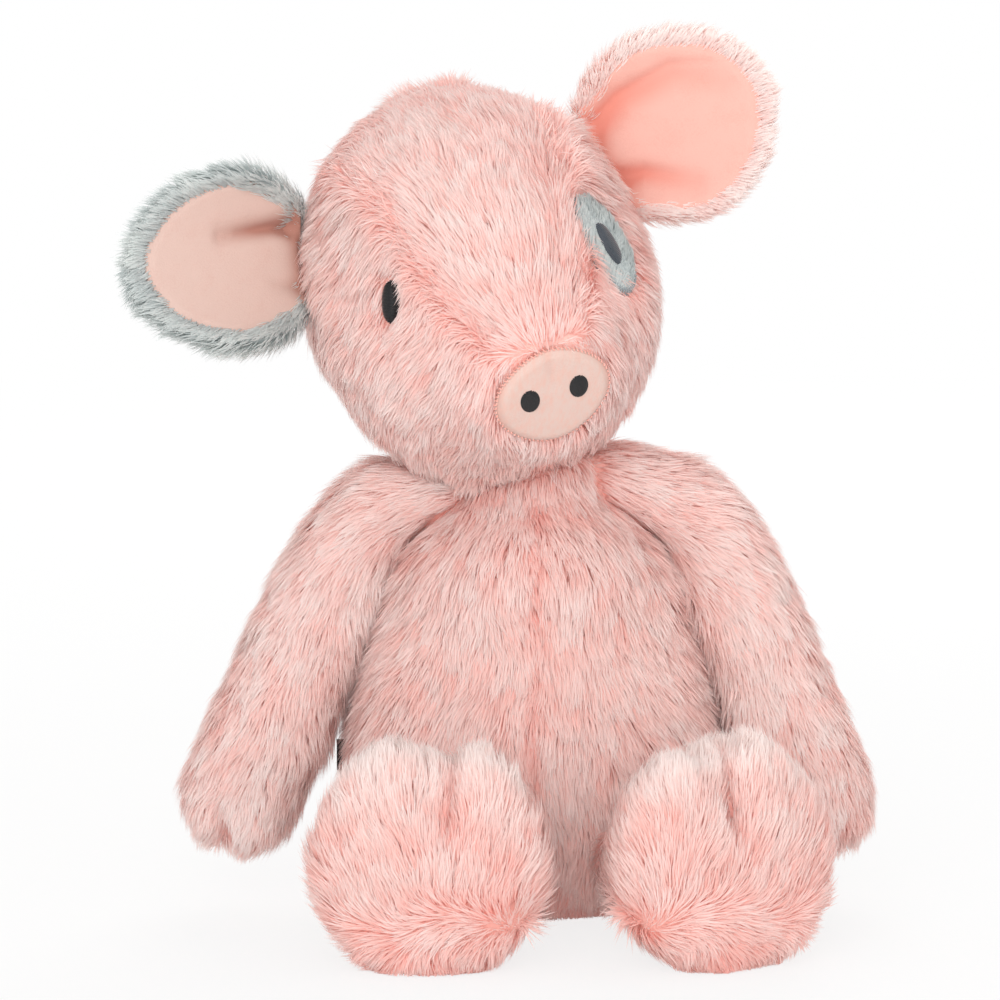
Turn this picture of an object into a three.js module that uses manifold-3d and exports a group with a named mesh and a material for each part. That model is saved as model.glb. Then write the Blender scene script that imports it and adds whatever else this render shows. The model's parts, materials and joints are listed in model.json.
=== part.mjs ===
// A sitting plush pig: faux fur skins over fibre fill, sewn together at the neck, shoulders, hips and ears.
// Millimetres, +Z up. The pig looks along -Y, and its left side is on +X.
// The origin is the middle of the flat that the seat makes on the floor.
import * as THREE from 'three';
import { mergeVertices } from 'three/addons/utils/BufferGeometryUtils.js';
import Module from 'manifold-3d';

const wasm = await Module();
wasm.setup();

// Cloth and clearances
const gap = 0.3;
const cloth = 2.5;
const floorCut = 0.5;
const overrun = 400;
const weld = 1e-4;

// Body bag
const torsoHalfWidth = 61;
const torsoHalfDepth = 50;
const torsoHeight = 146;
const neckRadius = 25;
const torsoSegments = { around: 28, along: 18 };
const torsoCoreSegments = { around: 16, along: 10 };
const pouchHeight = 24;
const neckMouthRadius = 11;

// Head
const headHalfWidth = 59;
const headHalfHeight = 66;
const headRise = 81.5;
const headBack = 58;
const snoutReach = 70;
const muzzleDrop = 42;
const chinShare = 0.15;
const browShare = 0.2;
const muzzleHalfWidth = 21.5;
const headLean = -16;
const headTurn = 14;
const headSegments = { around: 28, along: 18 };
const headCoreSegments = { around: 14, along: 10 };

// Arms
const armRadius = 17;
const handRadius = 20.5;
const armRootRadius = 16;
const sleeveMouthRadius = 9;
const bodyRoomSteps = 12;
const armDrop = 103;
const armReach = 53;
const armForward = 10;
const shoulderHeight = 142;
const rightArmSplay = 0;
const leftArmSplay = -2.6;
const handCleftDepth = 3.5;
const handCleftWidth = 5;
const armSegments = { around: 16, along: 16 };
const armCoreSegments = { around: 10, along: 9 };

// Legs and feet
const legRadius = 22.5;
const footHalfWidth = 37.5;
const footHalfHeight = 37.4;
const legRootRadius = 14;
const legMouthRadius = 7;
const hipSwingUp = -30;
const hipSwingDown = 75;
const hipSwingSteps = 12;
const legLength = 70;
const hipHeight = 28;
const hipSpacing = 62;
const toeCleftDepth = 9;
const toeCleftWidth = 7;
const rightLegSplay = -2;
const leftLegSplay = 29;
const rightFootRoll = 0;
const leftFootRoll = -14;
const legSegments = { around: 24, along: 18 };
const legCoreSegments = { around: 14, along: 11 };

// Ears
const earLength = 67;
const leftEarHalfWidth = 33;
const rightEarHalfWidth = 30;
const earBackThickness = 3;
const liningThickness = 1.4;
const liningMargin = 5;
const leftEarCup = 6;
const rightEarCup = 11;
const earRaise = 13;
const earSweep = 24;
const earHeight = 100;
const earSpacing = 100;
const earBack = 6;
const earSwing = 20;
const earSwingSteps = 4;
const earSegments = { around: 22, along: 8 };

// Face
const snoutHalfWidth = 18.4;
const snoutHalfHeight = 16.6;
const snoutThickness = 3;
const stitchRadius = 0.7;
const nostrilHalfWidth = 3.1;
const nostrilHalfHeight = 3.9;
const nostrilSpacing = 17.5;
const nostrilRise = 1.5;
const embroideryThickness = 1.2;
const eyeHalfWidth = 3;
const rightEyeAside = 38;
const leftEyeAside = 31.5;
const leftEyeDrop = 2;
const eyeAhead = 45;
const eyeHeight = 82.5;
const eyeTilt = 8;
const eyeHalfHeight = 7.4;
const patchHalfWidth = 10.5;
const patchHalfHeight = 17.5;
const patchThickness = 2;
const patchRim = 1.6;

// Tail and side tab
const tailCurlRadius = 8;
const tailTubeRadius = 4;
const tailPitch = 10;
const tailTurns = 1.25;
const tailTurnSteps = 8;
const tailShrinkShare = 0.24;
const tailHeight = 42;
const tabLength = 9;
const tabHeight = 11;
const tabThickness = 1.2;
const tabSeamHeight = 52;

const radians = THREE.MathUtils.degToRad;
const smooth = THREE.MathUtils.smoothstep;
const mix = THREE.MathUtils.lerp;
const up = new THREE.Vector3(0, 0, 1);
const ahead = new THREE.Vector3(0, -1, 0);

// Materials, one for each cloth or thread
const paint = (color, roughness) => () => (
  new THREE.MeshStandardMaterial({ color, roughness, metalness: 0 })
);
const pinkFur = paint('#f7c6be', 0.95);
const greyFur = paint('#c3c8c6', 0.95);
const beigeVelour = paint('#f0ccb9', 0.9);
const peachVelour = paint('#fdbcab', 0.9);
const snoutVelour = paint('#f0d4c8', 0.9);
const blackThread = paint('#1b1b1f', 0.6);
const greyThread = paint('#474c52', 0.6);
const salmonThread = paint('#ee9c8b', 0.7);
const slateThread = paint('#9aa5a8', 0.7);
const blackRibbon = paint('#17171a', 0.7);
const fibre = paint('#f4f2ee', 1);
const canvas = paint('#e6dfd2', 0.9);

// A mesh with only positions, shared where they meet and without the slivers at a pole
function welded(geometry) {
  const bare = new THREE.BufferGeometry();
  bare.setAttribute('position', geometry.getAttribute('position'));
  bare.setIndex(geometry.getIndex());
  const merged = mergeVertices(bare, weld);
  const corners = merged.getIndex().array;
  const kept = [];
  for (let i = 0; i < corners.length; i += 3) {
    const [a, b, c] = corners.slice(i, i + 3);
    if (a !== b && b !== c && c !== a) kept.push(a, b, c);
  }
  merged.setIndex(kept);
  return merged;
}

// Moves every point through a function of its place
function carried(geometry, place) {
  const positions = geometry.getAttribute('position');
  const point = new THREE.Vector3();
  for (let i = 0; i < positions.count; i += 1) {
    const moved = place(point.fromBufferAttribute(positions, i));
    positions.setXYZ(i, moved.x, moved.y, moved.z);
  }
  return geometry;
}

// Moves the surface out along its normals, or in when the distance is negative
function swollen(geometry, distance) {
  const skin = geometry.clone();
  skin.computeVertexNormals();
  const positions = skin.getAttribute('position');
  const normals = skin.getAttribute('normal');
  for (let i = 0; i < positions.count; i += 1) {
    positions.setXYZ(
      i,
      positions.getX(i) + normals.getX(i) * distance,
      positions.getY(i) + normals.getY(i) * distance,
      positions.getZ(i) + normals.getZ(i) * distance,
    );
  }
  skin.deleteAttribute('normal');
  return skin;
}

function solid(geometry) {
  const skin = welded(geometry);
  return new wasm.Manifold(new wasm.Mesh({
    numProp: 3,
    vertProperties: new Float32Array(skin.getAttribute('position').array),
    triVerts: new Uint32Array(skin.getIndex().array),
  }));
}

function geometryOf(manifold) {
  const mesh = manifold.getMesh();
  const geometry = new THREE.BufferGeometry();
  geometry.setAttribute('position', new THREE.BufferAttribute(new Float32Array(mesh.vertProperties), 3));
  geometry.setIndex(new THREE.BufferAttribute(new Uint32Array(mesh.triVerts), 1));
  return geometry;
}

// A stuffed skin: a lathed outline whose points are (half width, travel), bent along its own route
function stuffedSkin(form, segments) {
  const outline = form.outline.getSpacedPoints(segments.along);
  outline[0].x = 0;
  outline[segments.along].x = 0;
  const lathe = new THREE.LatheGeometry(outline, segments.around);
  return carried(welded(lathe), (point) => form.place(point.x, point.z, point.y));
}

// Shares of a length and of a half width become a smooth outline
function outlineFrom(shares, halfWidth, length) {
  return new THREE.SplineCurve(shares.map(([w, t]) => new THREE.Vector2(w * halfWidth, t * length)));
}

// The route of a limb or head: side, rise and travel become a place in the piece's own frame
function alongRoute(route, hint, shape) {
  const length = route.getLength();
  return (side, rise, travel) => {
    const share = THREE.MathUtils.clamp(travel / length, 0, 1);
    const tangent = route.getTangentAt(share);
    const across = new THREE.Vector3().crossVectors(tangent, hint).normalize();
    const raised = new THREE.Vector3().crossVectors(across, tangent);
    const shaped = shape(side, rise, travel / length);
    return route.getPointAt(share)
      .addScaledVector(tangent, travel - share * length + shaped.travel)
      .addScaledVector(across, shaped.side)
      .addScaledVector(raised, shaped.rise);
  };
}

function box(low, high) {
  const size = new THREE.Vector3().subVectors(high, low);
  const block = new THREE.BoxGeometry(size.x, size.y, size.z);
  return solid(block.translate((low.x + high.x) / 2, (low.y + high.y) / 2, (low.z + high.z) / 2));
}

function ball(radius, centre, segments) {
  return solid(new THREE.SphereGeometry(radius, segments.around, segments.along)
    .translate(centre.x, centre.y, centre.z));
}

// Everything beyond a plane, as a large block whose near face is the plane
function beyond(point, normal) {
  const block = new THREE.BoxGeometry(overrun * 2, overrun * 2, overrun * 2).translate(0, 0, overrun);
  const turn = new THREE.Quaternion().setFromUnitVectors(up, normal);
  return solid(block.applyQuaternion(turn).translate(point.x, point.y, point.z));
}

const placed = (manifold, matrix) => solid(geometryOf(manifold).applyMatrix4(matrix));
const belowFloor = beyond(new THREE.Vector3(0, 0, 0), up.clone().negate());

// Body bag: a pear that sits on its seat and ends in a round neck, which the head is sewn round
const widestShare = 0.32;
const torsoWidthShares = [
  [0.3, 0], [0.56, 0.004], [0.76, 0.035], [0.9, 0.1], [0.98, 0.2], [1, widestShare], [0.97, 0.44],
  [0.9, 0.57], [0.82, 0.7], [0.76, 0.81], [0.67, 0.9],
];
const torsoPear = new THREE.SplineCurve([
  new THREE.Vector2(0, -floorCut),
  ...torsoWidthShares.map(([w, t]) => new THREE.Vector2(w * torsoHalfWidth, t * torsoHeight)),
  new THREE.Vector2(neckRadius, torsoHeight),
]);
const torsoOutline = new THREE.CurvePath();
torsoOutline.add(torsoPear);
torsoOutline.add(new THREE.EllipseCurve(0, torsoHeight, neckRadius, neckRadius, 0, Math.PI / 2, false, 0));
const torso = {
  outline: torsoOutline,
  place: (side, rise, travel) => {
    const round = smooth(travel, torsoHeight * 0.6, torsoHeight * 0.95);
    return new THREE.Vector3(side, -rise * mix(torsoHalfDepth / torsoHalfWidth, 1, round), travel);
  },
};
const torsoSkin = stuffedSkin(torso, torsoSegments);
const torsoCore = stuffedSkin(torso, torsoCoreSegments);
const neckPoint = new THREE.Vector3(0, 0, torsoHeight);
const neckMouth = solid(new THREE.CylinderGeometry(neckMouthRadius, neckMouthRadius, overrun, 20)
  .rotateX(Math.PI / 2)
  .translate(0, 0, torsoHeight + overrun / 2));
const torsoClear = solid(swollen(torsoSkin, gap));
const torsoCavity = solid(swollen(torsoCore, -cloth));
const torsoFill = solid(swollen(torsoCore, -cloth - gap));
const torsoCover = solid(torsoSkin).subtract(belowFloor).subtract(torsoCavity).subtract(neckMouth);
const abovePouch = beyond(new THREE.Vector3(0, 0, pouchHeight), up);
const belowFill = beyond(new THREE.Vector3(0, 0, pouchHeight + gap), up.clone().negate());
const torsoStuffing = torsoFill.subtract(belowFill);
const beanPouch = torsoFill.subtract(abovePouch);

// Where a straight line from inside a skin comes out of it, and the skin's normal there
function skinPoint(skin, from, towards) {
  const shell = new THREE.Mesh(skin, new THREE.MeshBasicMaterial({ side: THREE.DoubleSide }));
  const hits = new THREE.Raycaster(from, towards.clone().normalize()).intersectObject(shell);
  const hit = hits[hits.length - 1];
  return { point: hit.point, normal: hit.face.normal.clone() };
}

// Head, in its own frame with the neck point as its origin
const headRoute = new THREE.CatmullRomCurve3([
  new THREE.Vector3(0, headBack, headRise + muzzleDrop * 0.1),
  new THREE.Vector3(0, headBack * 0.3, headRise),
  new THREE.Vector3(0, -snoutReach * 0.4, headRise - muzzleDrop * 0.4),
  new THREE.Vector3(0, -snoutReach, headRise - muzzleDrop),
]);
const headLength = headRoute.getLength();
const headWidthShares = [
  [0, 0], [0.38, 0.02], [0.64, 0.085], [0.84, 0.19], [0.96, 0.31], [1, 0.43], [0.98, 0.55],
  [0.92, 0.67], [0.8, 0.79],
];
const head = {
  outline: new THREE.SplineCurve([
    ...headWidthShares.map(([w, t]) => new THREE.Vector2(w * headHalfWidth, t * headLength)),
    new THREE.Vector2(muzzleHalfWidth * 1.5, headLength * 0.9),
    new THREE.Vector2(muzzleHalfWidth, headLength),
    new THREE.Vector2(0, headLength + muzzleHalfWidth * 0.25),
  ]),
  place: alongRoute(headRoute, up, (side, rise, share) => {
    const tall = mix(headHalfHeight / headHalfWidth, 1, smooth(share, 0.5, 1));
    const chin = rise < 0 ? 1 + chinShare * smooth(share, 0.45, 0.8) * (1 - smooth(share, 0.9, 1)) : 1;
    const brow = 1 - browShare * smooth(rise, 0, headHalfWidth * 0.5) * smooth(share, 0.45, 0.75);
    return { side: side * brow, rise: rise * tall * chin, travel: 0 };
  }),
};
const headSkin = stuffedSkin(head, headSegments);
const headCore = stuffedSkin(head, headCoreSegments);
const muzzleAhead = headRoute.getTangentAt(1);
const muzzleFace = headRoute.getPointAt(1);
const muzzleCut = beyond(muzzleFace, muzzleAhead);
const neckSocket = ball(neckRadius + gap, new THREE.Vector3(), { around: 40, along: 24 });
const headSolid = solid(headSkin).subtract(muzzleCut);
const headCavity = solid(swollen(headCore, -cloth)).subtract(
  beyond(muzzleFace.clone().addScaledVector(muzzleAhead, -cloth), muzzleAhead),
);
const headFill = solid(swollen(headCore, -cloth - gap)).subtract(
  beyond(muzzleFace.clone().addScaledVector(muzzleAhead, -cloth - gap), muzzleAhead),
);
const headCover = headSolid.subtract(headCavity).subtract(neckSocket);
const headStuffing = headFill.subtract(neckSocket);

// Arms: sleeves that hang from the shoulders and end in a two-toed trotter
const armRouteShares = [
  [0, 0, 0], [0.2, 0.05, 0.12], [0.46, 0.2, 0.34], [0.71, 0.5, 0.62], [0.9, 0.8, 0.87], [1, 1, 1],
];
const armOutlineShares = [[0.12, 1.04], [0.4, 1.06], [0.62, 1.08], [0.76, 1.12]];
function armForm(hand) {
  const route = new THREE.CatmullRomCurve3(armRouteShares.map(([x, y, z]) => (
    new THREE.Vector3(hand * x * armReach, -y * armForward, -z * armDrop)
  )));
  const length = route.getLength();
  const rise = armRootRadius * Math.SQRT1_2;
  return {
    length,
    outline: new THREE.SplineCurve([
      new THREE.Vector2(0, -armRootRadius),
      new THREE.Vector2(rise, -rise),
      new THREE.Vector2(armRootRadius, 0),
      ...armOutlineShares.map(([t, w]) => new THREE.Vector2(w * armRadius, t * length)),
      new THREE.Vector2(handRadius, length * 0.94),
      new THREE.Vector2(handRadius * 0.92, length * 1.03),
      new THREE.Vector2(handRadius * 0.62, length * 1.12),
      new THREE.Vector2(0, length + handRadius * 0.85),
    ]),
    place: alongRoute(route, ahead, (side, rise, share) => {
      const groove = Math.exp(-((side / handCleftWidth) ** 2));
      const tip = smooth(share, 0.86, 1.1);
      const front = smooth(rise, 0, handRadius * 0.7);
      return {
        side,
        rise: rise - handCleftDepth * groove * front * smooth(share, 0.74, 0.9),
        travel: -handCleftDepth * groove * tip,
      };
    }),
  };
}

// The scene graph: one group for each piece that moves, placed where it is sewn on
const pig = new THREE.Group();
const neck = new THREE.Group();
neck.position.copy(neckPoint);
neck.rotation.y = radians(headLean);
const face = new THREE.Group();
face.rotation.z = radians(headTurn);
neck.add(face);
pig.add(neck);

// A solid that is given in the pig's frame, brought into a group's own frame
function seenFrom(group, manifold) {
  pig.updateMatrixWorld(true);
  return placed(manifold, group.matrixWorld.clone().invert());
}

function addPiece(name, manifold, material, parent) {
  const mesh = new THREE.Mesh(geometryOf(manifold), material());
  mesh.name = name;
  parent.add(mesh);
  return mesh;
}

addPiece('torso_cover', torsoCover, pinkFur, pig);
addPiece('torso_stuffing', torsoStuffing, fibre, pig);
addPiece('bean_pouch', beanPouch, canvas, pig);
addPiece('head_cover', headCover, pinkFur, face);
addPiece('head_stuffing', headStuffing, fibre, face);

const towardsLeft = new THREE.Vector3(1, 0, 0);
const shoulderInside = new THREE.Vector3(0, 0, shoulderHeight - armRootRadius);
const shoulderSide = skinPoint(torsoSkin, shoulderInside, towardsLeft).point.x;

// The room that the body takes beside a swinging arm: its outline turned round the line of the shoulders
function bodyRoom(hand, clear) {
  const drops = Array.from({ length: bodyRoomSteps + 1 }, (_, i) => shoulderHeight * i / bodyRoomSteps);
  const widths = drops.map((drop) => {
    const inside = new THREE.Vector3(0, 0, Math.max(shoulderHeight - drop, torsoHeight * widestShare));
    return Math.max(shoulderSide, skinPoint(torsoSkin, inside, towardsLeft).point.x) + clear;
  });
  const rim = drops.map((drop, i) => new THREE.Vector2(drop, hand * widths[i]));
  const outline = [...rim, new THREE.Vector2(shoulderHeight, 0), new THREE.Vector2(0, 0)];
  const turned = new THREE.LatheGeometry(hand > 0 ? outline.toReversed() : outline, 48);
  return solid(turned.rotateZ(-Math.PI / 2).translate(0, 0, shoulderHeight));
}
const sleeveTube = new THREE.CylinderGeometry(sleeveMouthRadius, sleeveMouthRadius, armRootRadius * 2, 16);
const sleeveMouth = solid(sleeveTube.rotateZ(Math.PI / 2));

for (const [hand, word, splay] of [[1, 'left', leftArmSplay], [-1, 'right', rightArmSplay]]) {
  const shoulder = new THREE.Group();
  shoulder.position.set(hand * (shoulderSide + armRootRadius * 0.4), 0, shoulderHeight);
  shoulder.rotation.y = radians(-hand * splay);
  pig.add(shoulder);
  const form = armForm(hand);
  const skin = stuffedSkin(form, armSegments);
  const core = stuffedSkin(form, armCoreSegments);
  const mouth = placed(sleeveMouth, new THREE.Matrix4().makeTranslation(-hand * armRootRadius, 0, 0));
  const cover = solid(skin)
    .subtract(solid(swollen(core, -cloth)))
    .subtract(mouth)
    .subtract(seenFrom(shoulder, bodyRoom(hand, gap)));
  const stuffing = solid(swollen(core, -cloth - gap))
    .subtract(seenFrom(shoulder, bodyRoom(hand, gap * 2)));
  addPiece(`arm_cover_${word}`, cover, pinkFur, shoulder);
  addPiece(`arm_stuffing_${word}`, stuffing, fibre, shoulder);
}

// Legs: tubes that reach forward from the hips and end in big upturned feet with two toes
const legMouthDepth = Math.sqrt(legRootRadius ** 2 - legMouthRadius ** 2);
const hipInside = new THREE.Vector3(0, 0, hipHeight + legRootRadius * 0.5);
function hipAt(hand) {
  const towards = new THREE.Vector3(hand * hipSpacing / 2, -torsoHalfDepth * 0.8, -legRootRadius * 0.5);
  const seam = skinPoint(torsoSkin, hipInside, towards);
  return seam.point.addScaledVector(seam.normal, legMouthDepth + gap);
}
const footLift = footHalfHeight - floorCut - hipAt(1).z;
const legRouteShares = [[0, 0], [0.3, -0.1], [0.65, 0.7], [1, 1]];
const legRoute = new THREE.CatmullRomCurve3(legRouteShares.map(([y, z]) => (
  new THREE.Vector3(0, -y * legLength, z * footLift)
)));
const legReach = legRoute.getLength();
const leg = {
  outline: new THREE.SplineCurve([
    new THREE.Vector2(0, -legRootRadius),
    new THREE.Vector2(legRootRadius * Math.SQRT1_2, -legRootRadius * Math.SQRT1_2),
    new THREE.Vector2(legRootRadius, 0),
    new THREE.Vector2(mix(legRootRadius, legRadius, 0.6), legReach * 0.15),
    new THREE.Vector2(legRadius, legReach * 0.34),
    new THREE.Vector2(mix(legRadius, footHalfWidth, 0.12), legReach * 0.5),
    new THREE.Vector2(mix(legRadius, footHalfWidth, 0.62), legReach * 0.62),
    new THREE.Vector2(footHalfWidth * 0.97, legReach * 0.74),
    new THREE.Vector2(footHalfWidth, legReach * 0.83),
    new THREE.Vector2(footHalfWidth * 0.9, legReach * 0.925),
    new THREE.Vector2(footHalfWidth * 0.66, legReach * 0.975),
    new THREE.Vector2(footHalfWidth * 0.3, legReach),
    new THREE.Vector2(0, legReach),
  ]),
  place: alongRoute(legRoute, up, (side, rise, share) => {
    const foot = smooth(share, 0.45, 0.8);
    const sole = smooth(rise, -footHalfHeight * 0.35, footHalfHeight);
    const groove = Math.exp(-((side / toeCleftWidth) ** 2)) * sole;
    return {
      side,
      rise: rise * mix(1, footHalfHeight / footHalfWidth, foot) - toeCleftDepth * groove * foot,
      travel: -toeCleftDepth * groove * smooth(share, 0.85, 1),
    };
  }),
};
const legSkin = stuffedSkin(leg, legSegments);
const legCore = stuffedSkin(leg, legCoreSegments);

// Cuts off what the body is in the way of while a leg swings from its highest to its lowest
function clearOfBody(manifold, hip) {
  let cut = manifold;
  for (let step = 0; step <= hipSwingSteps; step += 1) {
    const swing = mix(hipSwingUp, hipSwingDown, step / hipSwingSteps);
    const turn = new THREE.Matrix4().makeTranslation(hip.position)
      .multiply(new THREE.Matrix4().makeRotationX(-radians(swing)))
      .multiply(new THREE.Matrix4().makeTranslation(hip.position.clone().negate()));
    cut = cut.subtract(seenFrom(hip, placed(torsoClear, turn)));
  }
  return cut;
}
const legMouth = solid(new THREE.CylinderGeometry(legMouthRadius, legMouthRadius, legRootRadius * 2, 16)
  .translate(0, legRootRadius, 0));

for (const [hand, word, splay, roll] of [
  [1, 'left', leftLegSplay, leftFootRoll],
  [-1, 'right', rightLegSplay, rightFootRoll],
]) {
  const hip = new THREE.Group();
  hip.position.copy(hipAt(hand));
  hip.rotation.set(0, radians(hand * roll), radians(hand * splay), 'ZYX');
  pig.add(hip);
  const hollow = solid(legSkin)
    .subtract(solid(swollen(legCore, -cloth)))
    .subtract(legMouth)
    .subtract(seenFrom(hip, belowFloor));
  const cover = clearOfBody(hollow, hip);
  const stuffing = clearOfBody(solid(swollen(legCore, -cloth - gap)), hip);
  addPiece(`leg_cover_${word}`, cover, pinkFur, hip);
  addPiece(`leg_stuffing_${word}`, stuffing, fibre, hip);
}

// Ears: a fur back and a thinner velour lining, sewn round the edge and cupped along the middle
const earOutlineShares = [
  [0, -0.5], [0.16, -0.78], [0.42, -1], [0.68, -0.92], [0.88, -0.6], [1, -0.08],
  [0.93, 0.48], [0.72, 0.86], [0.44, 1], [0.17, 0.8], [0, 0.5],
];
function earForm(thickness, margin, front, halfWidth, depth) {
  const edge = new THREE.CatmullRomCurve3(earOutlineShares.map(([u, v]) => (
    new THREE.Vector3(u * (earLength - 2 * margin) + margin, v * (halfWidth - margin), 0)
  )), true);
  const centre = new THREE.Vector3(earLength * 0.45, 0, 0);
  const lens = new THREE.SphereGeometry(1, earSegments.around, earSegments.along).rotateX(Math.PI / 2);
  return carried(welded(lens), (point) => {
    const radius = Math.min(1, Math.hypot(point.x, point.y));
    const turn = THREE.MathUtils.euclideanModulo(Math.atan2(point.y, point.x) / Math.PI + 1, 2) / 2;
    const at = edge.getPoint(turn).sub(centre).multiplyScalar(radius).add(centre);
    const half = Math.sign(point.z) * thickness * 0.5 * Math.sqrt(1 - radius ** 6);
    const along = at.x / earLength;
    const across = at.y / halfWidth;
    const cup = depth * (across ** 2 * mix(1.6, 0.7, along) - 0.6 * along ** 2);
    return new THREE.Vector3(at.x, at.y, front + cup + half);
  });
}
const headCentre = new THREE.Vector3(0, 0, headRise);
const outwardShare = Math.cos(radians(earRaise));
const upwardShare = Math.sin(radians(earRaise));
for (const [hand, word, backCloth, liningCloth, halfWidth, depth] of [
  [1, 'left', pinkFur, peachVelour, leftEarHalfWidth, leftEarCup],
  [-1, 'right', greyFur, beigeVelour, rightEarHalfWidth, rightEarCup],
]) {
  const ear = new THREE.Group();
  const towards = new THREE.Vector3(hand * earSpacing / 2, earBack, earHeight - headRise);
  const root = skinPoint(headSkin, headCentre, towards);
  ear.position.copy(root.point).addScaledVector(root.normal, gap);
  const sweep = -hand * radians(earSweep);
  const outward = new THREE.Vector3(hand * outwardShare, 0, upwardShare).applyAxisAngle(up, sweep);
  const front = ahead.clone().applyAxisAngle(up, sweep);
  const across = new THREE.Vector3().crossVectors(front, outward);
  ear.quaternion.setFromRotationMatrix(new THREE.Matrix4().makeBasis(outward, across, front));
  face.add(ear);
  const clearOfHead = seenFrom(ear, placed(solid(swollen(headSkin, gap)), face.matrixWorld));
  let back = solid(earForm(earBackThickness, 0, 0, halfWidth, depth));
  const inFront = (earBackThickness + liningThickness) / 2 + gap;
  let lining = solid(earForm(liningThickness, liningMargin, inFront, halfWidth, depth));
  for (let step = -earSwingSteps; step <= earSwingSteps; step += 1) {
    const swing = new THREE.Matrix4().makeRotationY(radians(earSwing * step / earSwingSteps));
    const headRoom = placed(clearOfHead, swing);
    back = back.subtract(headRoom);
    lining = lining.subtract(headRoom);
  }
  addPiece(`ear_back_${word}`, back, backCloth, ear);
  addPiece(`ear_lining_${word}`, lining, liningCloth, ear);
}

// Snout: a velour disc on the flat end of the muzzle, with a stitched edge and two nostrils
const snout = new THREE.Group();
snout.position.copy(muzzleFace).addScaledVector(muzzleAhead, gap);
const snoutSide = new THREE.Vector3(1, 0, 0);
const snoutUp = new THREE.Vector3().crossVectors(muzzleAhead, snoutSide);
snout.quaternion.setFromRotationMatrix(new THREE.Matrix4().makeBasis(snoutSide, snoutUp, muzzleAhead));
face.add(snout);
const discShares = [[0, 0], [0.97, 0], [1, 0.25], [1, 0.6], [0.975, 0.85], [0.93, 1], [0, 1]];

// A rounded disc on the plane of its group, half as wide and high as given
function disc(halfWidth, halfHeight, thickness, around) {
  const outline = discShares.map(([w, t]) => new THREE.Vector2(w, t));
  const lathe = new THREE.LatheGeometry(outline, around).rotateX(Math.PI / 2);
  return solid(lathe.scale(halfWidth, halfHeight, thickness));
}

// A round thread that runs round an oval, its centre line on the given half sizes
function threadRing(halfWidth, halfHeight, radius, around) {
  const ring = welded(new THREE.TorusGeometry(halfWidth, radius, 5, around));
  return solid(carried(ring, (point) => {
    const turn = Math.atan2(point.y, point.x);
    const out = Math.hypot(point.x, point.y) - halfWidth;
    const across = Math.cos(turn) * (halfWidth + out);
    return new THREE.Vector3(across, Math.sin(turn) * (halfHeight + out), point.z);
  }));
}

const edgeOffset = stitchRadius + gap;
const stitch = threadRing(snoutHalfWidth + edgeOffset, snoutHalfHeight + edgeOffset, stitchRadius, 32);
addPiece('snout_disc', disc(snoutHalfWidth, snoutHalfHeight, snoutThickness, 28), snoutVelour, snout);
addPiece('snout_stitch', stitch, salmonThread, snout).position.z = stitchRadius;
for (const [hand, word] of [[1, 'left'], [-1, 'right']]) {
  const nostril = disc(nostrilHalfWidth, nostrilHalfHeight, embroideryThickness, 14);
  addPiece(`nostril_${word}`, nostril, blackThread, snout)
    .position.set(hand * nostrilSpacing / 2, nostrilRise, snoutThickness + gap);
}

// Eyes and eye patch: cut from a thin layer over the head's skin, so that they follow its curve
function layer(low, high) {
  return solid(swollen(headSkin, high)).subtract(solid(swollen(headSkin, low)));
}

// An oval cutter at an eye, square to the skin there and upright but for the eyes' tilt
function ovalAt(hand, halfWidth, halfHeight) {
  const aside = hand > 0 ? leftEyeAside : -rightEyeAside;
  const drop = hand > 0 ? leftEyeDrop : 0;
  const towards = new THREE.Vector3(aside, -eyeAhead, eyeHeight - headRise - drop);
  const place = skinPoint(headSkin, headCentre, towards);
  const upright = up.clone().addScaledVector(place.normal, -up.dot(place.normal)).normalize();
  const level = new THREE.Vector3().crossVectors(upright, place.normal);
  const depth = headHalfWidth / 2;
  const oval = new THREE.CylinderGeometry(1, 1, depth, 24).rotateX(Math.PI / 2);
  oval.scale(halfWidth, halfHeight, 1).rotateZ(radians(hand * eyeTilt));
  oval.applyMatrix4(new THREE.Matrix4().makeBasis(level, upright, place.normal));
  return solid(oval.translate(place.point.x, place.point.y, place.point.z));
}

const patchTop = gap + patchThickness;
const rightEye = layer(gap, gap + embroideryThickness).intersect(ovalAt(-1, eyeHalfWidth, eyeHalfHeight));
const leftEye = layer(patchTop + gap, patchTop + gap + embroideryThickness)
  .intersect(ovalAt(1, eyeHalfWidth, eyeHalfHeight));
const patch = layer(gap, patchTop).intersect(ovalAt(1, patchHalfWidth, patchHalfHeight));
const patchEdge = layer(gap, gap + patchRim * 0.75)
  .intersect(ovalAt(1, patchHalfWidth + gap + patchRim, patchHalfHeight + gap + patchRim))
  .subtract(ovalAt(1, patchHalfWidth + gap, patchHalfHeight + gap));
addPiece('eye_right', rightEye, blackThread, face);
addPiece('eye_left', leftEye, greyThread, face);
addPiece('eye_patch', patch, greyFur, face);
addPiece('eye_patch_stitch', patchEdge, slateThread, face);

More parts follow.
